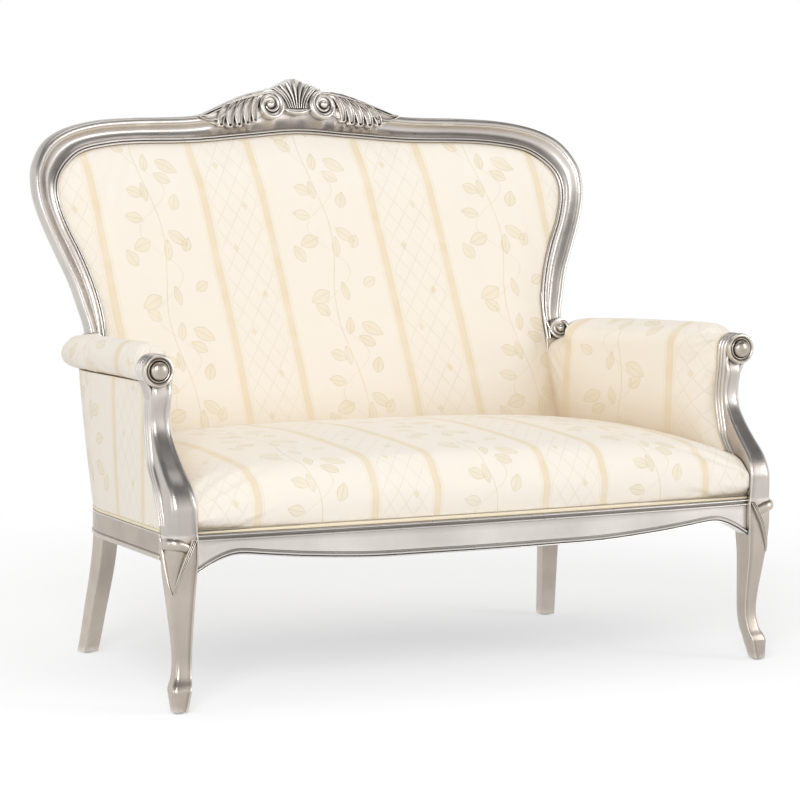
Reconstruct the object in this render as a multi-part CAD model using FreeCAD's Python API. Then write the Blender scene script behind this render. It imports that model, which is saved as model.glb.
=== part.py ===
import FreeCAD, Part
import math
import os

os.makedirs("parts", exist_ok=True)

# A two-seat sofa with a carved show-wood frame. It stands on z = 0 and faces -Y, X = 0 is its middle,
# and lengths are in millimetres. Pairs are made on +X and mirrored.

# Clearances shared by the whole sofa
touch_gap = 0.3
fit_gap = 0.1
overrun = 20.0
bow_radius = 2380.0

# Seat rails
rail_top = 308.0
side_rail_height = 46.0
rail_thickness = 26.0
rail_bead = 7.0
rail_bead_rise = 3.0
front_rail_y = -422.5
front_rail_bow = 17.0
apron_depth = 68.0
apron_place_shares = (0.0, 0.21, 0.42, 0.62, 0.75, 0.85, 0.90, 0.95, 1.0)
apron_depth_shares = (0.87, 0.865, 0.85, 0.75, 0.65, 0.565, 0.61, 0.77, 1.0)
side_moulding_height = 6.0
side_moulding_rise = 2.0

# Front legs, each a cabriole leg with a square block at its top, and the glides under all feet.
# leg_x sets the sofa's width, and the front rail ends on the legs' inner faces
leg_width = 52.0
leg_x = 588.0
leg_y = -387.5
front_rail_half_span = leg_x - leg_width / 2
leg_corner_share = 0.16
leg_kick = 10.0
glide_height = 3.0
glide_radius = 8.0
# Rows of height, outward, forward and width, as shares of the leg below its block
leg_shares = (
    (0.00, 0.60, 1.00, 0.44),
    (0.12, 0.40, 0.60, 0.66),
    (0.155, 0.20, 0.25, 0.66),
    (0.23, -0.35, -0.40, 0.58),
    (0.34, -0.65, -0.85, 0.555),
    (0.49, -0.55, -0.72, 0.62),
    (0.645, -0.30, -0.40, 0.73),
    (0.78, -0.10, -0.15, 0.83),
    (0.90, 0.0, -0.08, 0.93),
    (1.0, 0.0, 0.0, 1.0),
)

# Rear legs, which rise inside the rails as posts that carry the back
rear_leg_width = 36.0
rear_leg_inset = 103.0
rear_leg_x = leg_x - rear_leg_inset
rear_leg_y = 206.0
rear_leg_turn = -9.0
rear_splay_x = 21.0
rear_splay_y = 49.0
rear_leg_corner = 2.5
stile_foot_z = 577.0
post_lean_x = 12.0
post_lean_y = 13.0
# Rows of height, splay and width for the leg below the rails
rear_leg_shares = ((0.0, 1.0, 0.84), (0.23, 0.70, 0.88), (0.46, 0.42, 0.93), (0.73, 0.13, 0.98))

# Back frame. Its face leans back and is bowed in plan
back_face_y = 345.8
back_face_z = 900.0
back_lean = 0.285
back_overhang = 111.0
back_half_width = rear_leg_x + back_overhang
back_rise = 483.0
frame_depth = 36.0
frame_bead = 5.0
frame_bead_rise = 2.5
cove_depth = 6.5
rim_width = 9.0
rim_rise = 5.0
side_swell = 1.5
stile_scroll_radius = 21.0
stile_scroll_rise = 8.0
stile_scroll_eye = 7.0
# Rows of inner x and height, then outer x and height, from the middle of the crest to the stile's foot
frame_shares = (
    (0.000, 0.859, 0.000, 1.000),
    (0.188, 0.843, 0.185, 0.963),
    (0.396, 0.824, 0.389, 0.927),
    (0.604, 0.820, 0.607, 0.919),
    (0.721, 0.809, 0.747, 0.907),
    (0.812, 0.787, 0.864, 0.874),
    (0.869, 0.745, 0.943, 0.818),
    (0.906, 0.694, 0.990, 0.731),
    (0.919, 0.640, 1.000, 0.654),
    (0.914, 0.576, 0.993, 0.578),
    (0.893, 0.493, 0.970, 0.487),
    (0.859, 0.400, 0.936, 0.383),
    (0.829, 0.300, 0.901, 0.280),
    (0.809, 0.203, 0.878, 0.182),
    (0.800, 0.110, 0.862, 0.098),
    (0.802, 0.000, 0.859, 0.000),
)
shoulder_row = 5

# Arm posts
post_width = 50.0
post_top_z = 572.0
post_corner_share = 0.2
# Rows of height, front face, rear face and width, as shares of the post's rise, its depth and width
post_shares = (
    (0.00, 0.00, 0.00, 1.00),
    (0.12, -0.02, 0.22, 0.96),
    (0.20, 0.02, 0.42, 0.92),
    (0.305, 0.31, 0.72, 0.87),
    (0.42, 0.94, 1.20, 0.80),
    (0.535, 1.50, 1.44, 0.74),
    (0.655, 1.90, 1.63, 0.69),
    (0.775, 1.96, 1.79, 0.67),
    (0.92, 1.67, 1.87, 0.72),
    (1.00, 1.50, 1.87, 0.78),
)

# Arm scrolls, turned bosses with a ball in a ring
scroll_radius = 27.0
scroll_outset = 9.0
scroll_x = leg_x + scroll_outset
scroll_z = 585.0
scroll_face_y = -330.0
scroll_length = 44.0
scroll_ring = 7.0
scroll_recess = 4.0
ball_radius = 15.0
ball_rise = 12.0
barrel_step = 2.0

# Plan of the arm and side rail: a straight run, a bend and a straight run to the rear leg.
# The low values hold at the rail and the high ones under the arm roll
side_outset_low = 25.0
side_outset_high = 16.0
side_x_low = leg_x + side_outset_low
side_x_high = leg_x + side_outset_high
side_run_low = 304.0
side_run_high = 361.0
side_angle_low = 2.7
side_angle_high = 0.0
bend_radius_low = 300.0
bend_radius_high = 200.0
bend_angle = 27.0
side_rear_run_low = 140.0
side_rear_run_high = 158.0

# Upholstery of the arms
panel_thickness = 4.0
panel_inset = 1.0
arm_pad_thickness = 26.0
arm_pad_rear_thickness = 14.0
arm_pad_front_inset = 32.0
arm_pad_front_x = leg_x - arm_pad_front_inset
arm_pad_front_y = -300.0
arm_pad_rear_inset = 1.0
arm_pad_rear_x = rear_leg_x - arm_pad_rear_inset
arm_pad_rear_y = 150.0
arm_pad_lap = 6.0
arm_pad_crown = 5.0
# Rows of height and crown
arm_pad_shares = ((0.0, 0.2), (0.35, 1.0), (0.7, 0.9), (1.0, 0.4))
roll_bottom = 562.0
roll_height = 74.0
roll_tuck = 12.0
roll_proud = 13.0
roll_fall = 26.0
roll_rear_y = 226.0
roll_wrap_share = 0.56
roll_bulge_share = 0.72
# Rows of place along the roll, width, height and outer pull-in, as shares
roll_shares = (
    (0.00, 0.72, 0.66, 0.00),
    (0.035, 0.93, 0.90, 0.00),
    (0.10, 1.00, 1.00, 0.00),
    (0.28, 1.00, 1.00, 0.00),
    (0.46, 1.00, 1.00, 0.00),
    (0.64, 1.00, 1.00, 0.01),
    (0.77, 1.00, 1.00, 0.14),
    (0.87, 1.00, 1.00, 0.40),
    (0.95, 1.00, 0.96, 0.71),
    (1.00, 0.90, 0.80, 0.95),
)
timber_gap = 1.5
arm_rail_height = 30.0
arm_tack_height = 30.0
arm_tack_z = 350.0

# Seat
piping_diameter = 7.0
piping_inset = 4.0
strap_width = 50.0
strap_thickness = 1.5
straps_deep = 9
straps_across = 4
foam_height = 42.0
foam_inset = 26.0
seat_crown_z = 442.0
seat_rear_z = 426.0
seat_end_fall = 26.0
seat_overhang = 7.0
seat_bulge = 4.9
seat_nose_share = 0.62
seat_shoulder = 35.0
seat_shoulder_share = 0.3
seat_roll = 56.0
seat_tuck = 10.0
seat_half_width = arm_pad_front_x + seat_tuck
# Rows of place across, fall of the crown and fall of the front edge, as shares
seat_shares = ((0.0, 0.0, 0.0), (0.3, 0.04, 0.05), (0.6, 0.22, 0.24), (0.86, 0.68, 0.62), (1.0, 1.25, 1.25))

# Back upholstery
pad_inset = 0.8
pad_outset = 2.0
pad_half_width = rear_leg_x + pad_outset
pad_foot_z = 318.0
pad_crown = 24.0
pad_edge = 3.0
pad_depth = 16.0
back_web_thickness = 2.0
back_panel_depth = 30.0
back_panel_thickness = 4.0
back_panel_inset = 21.0
back_panel_half_width = rear_leg_x - back_panel_inset
# Rows of height between the pad's foot and the frame's crest, and of crown
pad_crown_shares = (
    (0.0, 0.35), (0.15, 0.55), (0.32, 0.88), (0.50, 1.0), (0.68, 0.92), (0.84, 0.5), (1.0, 0.0),
)
# Heights, between the pad's foot and the stile's foot, where the pad's edge stands at its half width
pad_side_shares = (0.72, 0.35, 0.0)
tack_rail_z = 400.0
tack_rail_height = 40.0
tack_rail_thickness = 22.0

# Blocks, stretcher and fasteners inside the seat frame
block_z = 272.0
block_height = 26.0
block_leg = 105.0
stretcher_width = 40.0
stretcher_height = 28.0
cover_thickness = 1.0
cover_inset = 6.0
dowel_radius = 4.0
dowel_length = 40.0
shoulder_dowel_shares = (0.3, 0.7)
shoulder_depth_share = 0.6
screw_radius = 2.5
screw_length = 50.0
screw_head_radius = 5.0
screw_head_height = 3.0

# Carved crest, applied over the crest rail
carving_depth = 12.0
carving_seat = 16.0
shell_centre_z = 1030.0
shell_reach = 65.0
shell_spread = 43.0
shell_ribs = 9
shell_rib_small = 2.2
shell_rib_large = 6.2
shell_lip_half = 31.0
shell_lip_height = 13.0
curl_x = 61.0
curl_z = 1049.0
curl_radius = 28.0
curl_band = 6.0
curl_eye = 8.5
frond_tip_x = 215.0
frond_root_x = 72.0
frond_top_z = 1077.0
frond_low_z = 1012.0
frond_ribs = 5
frond_rib_small = 2.0
frond_rib_large = 5.0
# Outline of one frond from root to tip and back, as shares of its run and height
frond_shares = (
    (0.0, 1.0), (0.22, 0.93), (0.45, 0.76), (0.68, 0.52), (0.85, 0.36), (1.0, 0.23),
    (0.84, 0.06), (0.70, 0.0), (0.575, 0.09), (0.47, 0.0), (0.365, 0.10), (0.25, 0.08), (0.0, 0.2),
)
# A rib starts on the first line and ends on the second, each from the root's rib to the tip's
frond_start_shares = ((0.08, 0.80), (0.38, 0.60))
frond_end_shares = ((0.28, 0.22), (0.77, 0.10))

# Carved knee leaves, wrapped round the outer front corner of each leg's block
knee_z = 297.0
knee_band = 6.5
knee_band_fall = 13.0
knee_band_sink = 2.0
knee_band_corner = 5.0
knee_leaf_drop = 87.0
knee_leaf_thickness = 3.0
knee_leaf_sink = 12.0
# Leaf edges as shares of the leg's width from its corner: outer top, outer middle, inner middle, inner top
knee_leaf_shares = (0.85, 0.46, 0.26, 0.62)

# The covers of the seat and arms stand on the piping, and the arms' covers end under the rolls
cover_foot = rail_top + piping_diameter + touch_gap
cover_top = roll_bottom - touch_gap

up = FreeCAD.Vector(0, 0, 1)
back = FreeCAD.Vector(0, 1, 0)
middle = FreeCAD.Vector(0, 0, 0)


def vec(x, y, z):
    return FreeCAD.Vector(x, y, z)


def line(a, b):
    return Part.LineSegment(a, b).toShape()


def arc(a, through, b):
    return Part.Arc(a, through, b).toShape()


def polygon(points):
    return Part.makePolygon(list(points) + [points[0]])


def prism(wire, direction):
    return Part.Face(wire).extrude(direction)


def loft(wires, ruled=False):
    return Part.makeLoft(wires, True, ruled)


def mirrored(shape):
    return shape.mirror(middle, vec(1, 0, 0))


def save(name, shape):
    shape.exportStep("parts/" + name + ".step")


def save_pair(name, shape):
    save(name + "_right", shape)
    save(name + "_left", mirrored(shape))


def both(shape):
    return [shape, mirrored(shape)]


def rounded_square(x, y, z, half_x, half_y, corner, turn=0.0):
    """A level rectangle with round corners, turned about its own middle."""
    slack = corner * (1 - math.sqrt(0.5))
    quarter = [
        (half_x, half_y - corner), (half_x - slack, half_y - slack), (half_x - corner, half_y),
        (corner - half_x, half_y), (slack - half_x, half_y - slack), (-half_x, half_y - corner),
        (-half_x, corner - half_y), (slack - half_x, slack - half_y), (corner - half_x, -half_y),
        (half_x - corner, -half_y), (half_x - slack, slack - half_y), (half_x, corner - half_y),
    ]
    cosine = math.cos(math.radians(turn))
    sine = math.sin(math.radians(turn))
    points = [vec(x + u * cosine - v * sine, y + u * sine + v * cosine, z) for u, v in quarter]
    edges = []
    for first in (0, 3, 6, 9):
        edges.append(arc(points[first], points[first + 1], points[first + 2]))
        edges.append(line(points[first + 2], points[(first + 3) % 12]))
    return Part.Wire(edges)


# Front legs

def front_leg():
    block_foot = rail_top - side_rail_height
    sections = []
    for height, outward, forward, width in leg_shares:
        half = leg_width * width / 2
        z = glide_height + height * (block_foot - glide_height)
        x = leg_x + outward * leg_kick
        y = leg_y - forward * leg_kick
        sections.append(rounded_square(x, y, z, half, half, leg_width * width * leg_corner_share))
    half = leg_width / 2
    block = rounded_square(leg_x, leg_y, block_foot, half, half, leg_width * leg_corner_share)
    return loft(sections).fuse(prism(block, up * side_rail_height)).removeSplitter()


def rear_leg(grow=0.0):
    """The sabre leg below the rails and the post above them, in one timber."""
    rail_foot = rail_top - side_rail_height
    rows = []
    for height, splay, width in rear_leg_shares:
        z = glide_height + height * (rail_foot - glide_height)
        rows.append((z, rear_leg_x + splay * rear_splay_x, rear_leg_y + splay * rear_splay_y, width))
    rows.append((rail_foot, rear_leg_x, rear_leg_y, 1.0))
    rows.append((rail_top, rear_leg_x, rear_leg_y, 1.0))
    post_mid_z = (rail_top + stile_foot_z) / 2
    rows.append((post_mid_z, rear_leg_x + post_lean_x / 3, rear_leg_y + post_lean_y / 3, 1.0))
    rows.append((stile_foot_z, rear_leg_x + post_lean_x, rear_leg_y + post_lean_y, 1.0))
    sections = []
    for z, x, y, width in rows:
        half = rear_leg_width * width / 2 + grow
        sections.append(rounded_square(x, y, z, half, half, rear_leg_corner + grow, rear_leg_turn))
    return loft(sections)


# Seat rails

def front_rail_face(x):
    return front_rail_y + front_rail_bow * (x / front_rail_half_span) ** 2


def front_rail():
    places = [(-share, depth) for share, depth in zip(apron_place_shares, apron_depth_shares)][:0:-1]
    places += list(zip(apron_place_shares, apron_depth_shares))
    sections = []
    for share, depth in places:
        x = share * front_rail_half_span
        face = front_rail_face(x)
        rear = front_rail_face(x) + rail_thickness
        low = rail_top - depth * apron_depth
        top_end = rail_top - rail_bead
        low_end = low + rail_bead
        bead = face - rail_bead_rise
        sections.append(Part.Wire([
            line(vec(x, rear, low), vec(x, rear, rail_top)),
            line(vec(x, rear, rail_top), vec(x, face, rail_top)),
            arc(vec(x, face, rail_top), vec(x, bead, (rail_top + top_end) / 2), vec(x, face, top_end)),
            line(vec(x, face, top_end), vec(x, face, low_end)),
            arc(vec(x, face, low_end), vec(x, bead, (low + low_end) / 2), vec(x, face, low)),
            line(vec(x, face, low), vec(x, rear, low)),
        ]))
    return loft(sections)


def side_plan(rise, offset, z):
    """Edges and end points of one side's plan, moved out by offset, from the front leg to the rear leg."""
    start_x = side_x_low + rise * (side_x_high - side_x_low)
    run = side_run_low + rise * (side_run_high - side_run_low)
    first = math.radians(side_angle_low + rise * (side_angle_high - side_angle_low))
    last = math.radians(bend_angle)
    radius = bend_radius_low + rise * (bend_radius_high - bend_radius_low)
    rear_run = side_rear_run_low + rise * (side_rear_run_high - side_rear_run_low)
    start_y = leg_y + leg_width / 2

    def outward(angle, length):
        return vec(length * math.cos(angle), length * math.sin(angle), 0)

    start = vec(start_x, start_y, z)
    bend = start + vec(-run * math.sin(first), run * math.cos(first), 0)
    centre = bend - outward(first, radius)
    after = centre + outward(last, radius)
    end = after + vec(-rear_run * math.sin(last), rear_run * math.cos(last), 0)
    points = [
        start + outward(first, offset),
        bend + outward(first, offset),
        centre + outward((first + last) / 2, radius + offset),
        after + outward(last, offset),
        end + outward(last, offset),
    ]
    edges = [line(points[0], points[1]), arc(points[1], points[2], points[3]), line(points[3], points[4])]
    return edges, points


def side_band(rise, outer, inner, z):
    """Closed plan between two offsets of one side."""
    out_edges, out_points = side_plan(rise, outer, z)
    in_edges, in_points = side_plan(rise, inner, z)
    back_edges = [line(in_points[4], in_points[3]), arc(in_points[3], in_points[2], in_points[1]),
                  line(in_points[1], in_points[0])]
    return Part.Wire(out_edges + [line(out_points[4], in_points[4])] + back_edges
                     + [line(in_points[0], out_points[0])])


def side_rail():
    foot = rail_top - side_rail_height
    body = prism(side_band(0, 0, -rail_thickness, foot), up * side_rail_height)
    moulding = prism(side_band(0, side_moulding_rise, -rail_thickness, foot), up * side_moulding_height)
    return body.fuse(moulding).removeSplitter()


def bowed_band(mid_y, depth, half, z, bow=bow_radius):
    """Closed plan of a rail bowed like the back, from -half to +half."""
    end_y = mid_y - half * half / (2 * bow)
    return Part.Wire([
        arc(vec(-half, end_y, z), vec(0, mid_y, z), vec(half, end_y, z)),
        line(vec(half, end_y, z), vec(half, end_y + depth, z)),
        arc(vec(half, end_y + depth, z), vec(0, mid_y + depth, z), vec(-half, end_y + depth, z)),
        line(vec(-half, end_y + depth, z), vec(-half, end_y, z)),
    ])


rear_rail_mid_y = rear_leg_y - rail_thickness / 2 + rear_leg_x ** 2 / (2 * bow_radius)


def rear_rail():
    return prism(bowed_band(rear_rail_mid_y, rail_thickness, rear_leg_x, rail_top - side_rail_height),
                 up * side_rail_height)


def seat_region(inset, z, height):
    """The plan inside the outer faces of the rails, drawn in by an inset."""
    right_edges, right_points = side_plan(0, -inset, z)
    left_edges = [mirrored(edge) for edge in right_edges]
    front_end = vec(right_points[0].x, front_rail_face(right_points[0].x) + inset, z)
    front_mid = vec(0, front_rail_y + inset, z)
    rear_mid = vec(0, rear_rail_mid_y + rail_thickness - inset, z)
    mirror = lambda point: vec(-point.x, point.y, z)
    edges = [
        arc(mirror(front_end), front_mid, front_end),
        line(front_end, right_points[0]),
        *right_edges,
        arc(right_points[4], rear_mid, mirror(right_points[4])),
        *left_edges,
        line(mirror(right_points[0]), mirror(front_end)),
    ]
    return prism(Part.Wire(Part.__sortEdges__(edges)), up * height)


# Back frame

def back_y(x, z):
    return back_face_y + back_lean * (z - back_face_z) - x * x / (2 * bow_radius)


def frame_place(share_x, share_z):
    x = share_x * back_half_width
    z = stile_foot_z + share_z * back_rise
    return vec(x, back_y(x, z), z)


def frame_section(row, side=1, grow=0.0):
    """Moulded section: two beads inside, a cove, a raised rim and a swelled outer side."""
    inner = frame_place(side * row[0], row[1])
    outer = frame_place(side * row[2], row[3])
    width = inner.distanceToPoint(outer)
    across = (outer - inner) * (1 / width)

    def at(run, depth):
        return inner + across * run + back * depth

    rear = frame_depth + grow
    rim_start = width - rim_width
    lead = -grow
    rim = -rim_rise - grow
    first = frame_bead
    second = 2 * frame_bead
    crest = -frame_bead_rise - grow
    return Part.Wire([
        line(at(lead, rear), at(lead, lead)),
        arc(at(lead, lead), at(first / 2, crest), at(first, lead)),
        arc(at(first, lead), at((first + second) / 2, crest), at(second, lead)),
        arc(at(second, lead), at((second + rim_start) / 2, cove_depth - grow), at(rim_start, rim)),
        arc(at(rim_start, rim), at(width - rim_width / 3, rim), at(width + grow, lead)),
        arc(at(width + grow, lead), at(width + side_swell + grow, rear / 2), at(width + grow, rear)),
        line(at(width + grow, rear), at(lead, rear)),
    ])


def crest_rail():
    right = [frame_section(row) for row in frame_shares[:shoulder_row + 1]]
    left = [frame_section(row, -1) for row in frame_shares[shoulder_row:0:-1]]
    return loft(left + right)


def stile_scroll(grow=0.0):
    """The small volute that ends each stile."""
    x = (frame_shares[-1][0] + frame_shares[-1][2]) / 2 * back_half_width
    z = stile_foot_z + stile_scroll_radius
    face = back_y(x, z) - stile_scroll_rise - grow
    depth = stile_scroll_rise + frame_depth / 2
    disc = Part.makeCylinder(stile_scroll_radius + grow, depth, vec(x, face, z), back)
    eye = Part.makeSphere(stile_scroll_eye, vec(x, face, z))
    return disc.fuse(eye)


def back_stile(grow=0.0):
    body = loft([frame_section(row, 1, grow) for row in frame_shares[shoulder_row:]])
    above_foot = Part.makeBox(back_half_width, back_half_width, back_rise,
                              vec(0, 0, stile_foot_z - grow))
    return body.fuse(stile_scroll(grow)).common(above_foot)


# Arm posts and scrolls

def arm_post(grow=0.0, reach=0.0):
    """One post. With a reach it also takes in the room in front of the post and beside it."""
    rise = post_top_z - rail_top
    front = leg_y - leg_width / 2 - reach
    rear = leg_y + leg_width / 2
    sections = []
    for height, front_share, rear_share, width in post_shares:
        z = rail_top + height * rise
        face = front + front_share * leg_width
        heel = rear + rear_share * leg_width
        half_x = post_width * width / 2 + grow + reach
        half_y = (heel - face) / 2 + grow
        corner = post_width * width * post_corner_share + grow
        sections.append(rounded_square(leg_x, (face + heel) / 2, z, half_x, half_y, corner))
    return loft(sections)


def arm_scroll():
    """A turned boss: a ball in a ringed recess, on a stepped barrel."""
    ring_in = scroll_radius - scroll_ring
    barrel = scroll_radius - barrel_step

    def at(run, radius):
        return vec(scroll_x + radius, scroll_face_y + run, scroll_z)

    ball_depth = scroll_recess
    ball_crown = ball_depth - ball_rise
    diagonal = math.sqrt(0.5)
    profile = Part.Wire([
        line(at(scroll_length, 0), at(ball_crown, 0)),
        arc(at(ball_crown, 0), at(ball_depth - ball_rise * diagonal, ball_radius * diagonal),
            at(ball_depth, ball_radius)),
        line(at(ball_depth, ball_radius), at(ball_depth, ring_in)),
        arc(at(ball_depth, ring_in), at(0, (ring_in + scroll_radius) / 2), at(ball_depth, scroll_radius)),
        line(at(ball_depth, scroll_radius), at(2 * ball_depth, barrel)),
        line(at(2 * ball_depth, barrel), at(scroll_length / 2, barrel)),
        line(at(scroll_length / 2, barrel), at(scroll_length / 2 + ball_depth, scroll_radius)),
        line(at(scroll_length / 2 + ball_depth, scroll_radius), at(scroll_length, scroll_radius)),
        line(at(scroll_length, scroll_radius), at(scroll_length, 0)),
    ])
    return Part.Face(profile).revolve(vec(scroll_x, scroll_face_y, scroll_z), back, 360)


# Carving

def relief_point(base_x, x, z, depth):
    """A point over the crest rail's face, on the flat plane that touches the bow at base_x."""
    slope = -base_x / bow_radius
    return vec(x, back_y(base_x, z) + slope * (x - base_x) + depth, z)


def relief_rib(base_x, start, end, small, large):
    """A rounded rib that swells from start to end, each a pair of x and z."""
    a = relief_point(base_x, start[0], start[1], -carving_depth / 2)
    b = relief_point(base_x, end[0], end[1], -carving_depth / 2)
    axis = b - a
    cone = Part.makeCone(small, large, axis.Length, a, axis)
    return cone.fuse(Part.makeSphere(large, b))


def crest_shell():
    """A fan of swelling ribs over a scalloped lip."""
    low = shell_centre_z
    fan = []
    tips = []
    for number in range(shell_ribs):
        angle = math.radians(shell_spread * (2 * number / (shell_ribs - 1) - 1))
        tip = (shell_reach * math.sin(angle), low + shell_reach * math.cos(angle))
        start = (shell_reach / 5 * math.sin(angle), low + shell_reach / 5 * math.cos(angle))
        tips.append(tip)
        fan.append(relief_rib(0, start, tip, shell_rib_small, shell_rib_large))
    front = -carving_depth / 2
    plate_points = [relief_point(0, 0, low, front)]
    plate_points += [relief_point(0, x, z, front) for x, z in tips]
    plate = prism(polygon(plate_points), back * (carving_depth / 2 + carving_seat))
    lip_left = relief_point(0, -shell_lip_half, low + shell_lip_height / 2, -carving_depth)
    lip_right = relief_point(0, shell_lip_half, low + shell_lip_height / 2, -carving_depth)
    lip_low = relief_point(0, 0, low - shell_lip_height / 2, -carving_depth)
    lip = prism(Part.Wire([arc(lip_left, lip_low, lip_right), line(lip_right, lip_left)]),
                back * (carving_depth + carving_seat / 2))
    return plate.fuse(fan + [lip]).removeSplitter()


def crest_spray():
    """A curled volute with an acanthus frond that runs out to a point."""
    base_x = (curl_x + frond_tip_x) / 2
    run = frond_tip_x - frond_root_x
    rise = frond_top_z - frond_low_z
    places = [(frond_root_x + u * run, frond_low_z + v * rise) for u, v in frond_shares]
    points = [relief_point(base_x, x, z, -carving_depth / 2) for x, z in places]
    plate = prism(polygon(points), back * (carving_depth / 2 + carving_seat))

    def along(ends, share):
        (first_x, first_z), (last_x, last_z) = ends
        return (frond_root_x + run * (first_x + share * (last_x - first_x)),
                frond_low_z + rise * (first_z + share * (last_z - first_z)))

    pieces = []
    for number in range(frond_ribs):
        share = number / (frond_ribs - 1)
        start = along(frond_start_shares, share)
        end = along(frond_end_shares, share)
        pieces.append(relief_rib(base_x, start, end, frond_rib_small, frond_rib_large))
    centre = relief_point(base_x, curl_x, curl_z, -carving_depth / 2)
    disc = Part.makeCylinder(curl_radius, carving_depth / 2 + carving_seat, centre, back)
    ring = Part.makeTorus(curl_radius - curl_band, curl_band, centre, back)
    eye = Part.makeSphere(curl_eye, centre)
    return plate.fuse(pieces + [disc, ring, eye]).removeSplitter()


def knee_leaf():
    """A rounded band over the outer front corner of the leg and two leaves that meet below it."""
    face = leg_y - leg_width / 2
    side = leg_x + leg_width / 2
    half = leg_width / 2
    low = knee_z - knee_band_fall
    start = vec(side - half, face + knee_band_sink, low)
    over = vec(side - knee_band_corner, face + knee_band_corner, knee_z)
    end = vec(side - knee_band_sink, face + half, low)
    band = tube_along(Part.Wire([arc(start, over, end)]), knee_band)
    outer_top, outer_mid, inner_mid, inner_top = [share * leg_width for share in knee_leaf_shares]
    tip_z = knee_z - knee_leaf_drop
    mid_z = (knee_z + tip_z) / 2

    def leaf(place, direction):
        edges = [
            arc(place(outer_top, knee_z), place(outer_mid, mid_z), place(-knee_leaf_thickness, tip_z)),
            arc(place(-knee_leaf_thickness, tip_z), place(inner_mid, mid_z), place(inner_top, knee_z)),
            line(place(inner_top, knee_z), place(outer_top, knee_z)),
        ]
        return prism(Part.Wire(edges), direction * (knee_leaf_thickness + knee_leaf_sink))

    front = leaf(lambda run, z: vec(side - run, face - knee_leaf_thickness, z), back)
    flank = leaf(lambda run, z: vec(side + knee_leaf_thickness, face + run, z), vec(-1, 0, 0))
    return front.fuse([flank, band])


# Upholstery

def arm_pad(grow=0.0, spread=0.0):
    """The padded inside of one arm, crowned, with its rear edge lapped by the leaning back."""
    foot = rail_top + 2 * strap_thickness + touch_gap
    sections = []
    for share, crown in arm_pad_shares:
        z = foot + share * (cover_top - foot) + (2 * share - 1) * grow
        rear_y = back_y(pad_half_width, z) + arm_pad_lap + grow
        front = vec(arm_inner_x(leg_y) - grow, leg_y, z)
        rear = vec(arm_inner_x(rear_y) - grow, rear_y, z)
        swell = (front + rear) * 0.5 - vec(arm_pad_crown * crown, 0, 0)
        front_out = front + vec(arm_pad_thickness + 2 * grow + spread, 0, 0)
        rear_out = rear + vec(arm_pad_rear_thickness + 2 * grow + spread, 0, 0)
        sections.append(Part.Wire([arc(front, swell, rear), line(rear, rear_out),
                                   line(rear_out, front_out), line(front_out, front)]))
    return loft(sections)


def arm_inner_x(y):
    slope = (arm_pad_rear_x - arm_pad_front_x) / (arm_pad_rear_y - arm_pad_front_y)
    return arm_pad_front_x + slope * (y - arm_pad_front_y)


def arm_roll():
    """The rolled top of one arm: upright inside, round over the top and tucked under outside."""
    front_y = scroll_face_y + scroll_length + touch_gap
    sections = []
    for place, width, height, pull in roll_shares:
        y = front_y + place * (roll_rear_y - front_y)
        widest = side_x_high + roll_proud
        outer = widest - pull * roll_wrap_share * (widest - arm_inner_x(y))
        inner = outer - width * (outer - max(arm_inner_x(y), arm_pad_rear_x))
        top = roll_bottom + height * roll_height - place * roll_fall
        belly = roll_bottom + (top - roll_bottom) / 2
        ridge = (inner + outer) / 2
        bulge = roll_bulge_share * (outer - ridge)
        shoulder = belly + roll_bulge_share * (top - belly)
        sections.append(Part.Wire([
            line(vec(inner, y, roll_bottom), vec(inner, y, belly)),
            arc(vec(inner, y, belly), vec(ridge - bulge, y, shoulder), vec(ridge, y, top)),
            arc(vec(ridge, y, top), vec(ridge + bulge, y, shoulder), vec(outer, y, belly)),
            arc(vec(outer, y, belly), vec(outer - roll_tuck / 3, y, (belly + 2 * roll_bottom) / 3),
                vec(outer - roll_tuck, y, roll_bottom)),
            line(vec(outer - roll_tuck, y, roll_bottom), vec(inner, y, roll_bottom)),
        ]))
    return loft(sections)


def arm_outside_panel():
    inner = -panel_inset - panel_thickness
    low = side_band(0, -panel_inset, inner, cover_foot)
    high = side_band(1, -panel_inset, inner, cover_top)
    return loft([low, high], True)


def arm_timber(foot, height):
    """A hidden rail that fills the arm between the inside pad and the outside panel."""
    sections = []
    for z in (foot, foot + height):
        rise = (z - cover_foot) / (cover_top - cover_foot)
        out_edges, out_points = side_plan(rise, -panel_inset - panel_thickness - timber_gap, z)
        rear_y = back_y(pad_half_width, z) + arm_pad_lap + touch_gap
        pad_front = vec(arm_inner_x(leg_y) + arm_pad_thickness + touch_gap, leg_y, z)
        pad_rear = vec(arm_inner_x(rear_y) + arm_pad_rear_thickness + touch_gap, rear_y, z)
        tail = vec(rear_leg_x + post_lean_x, rear_y, z)
        end = vec(rear_leg_x + post_lean_x, out_points[4].y, z)
        edges = [line(pad_front, out_points[0])] + out_edges
        edges += [line(out_points[4], end), line(end, tail), line(tail, pad_rear), line(pad_rear, pad_front)]
        sections.append(Part.Wire(edges))
    return loft(sections, True)


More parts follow.
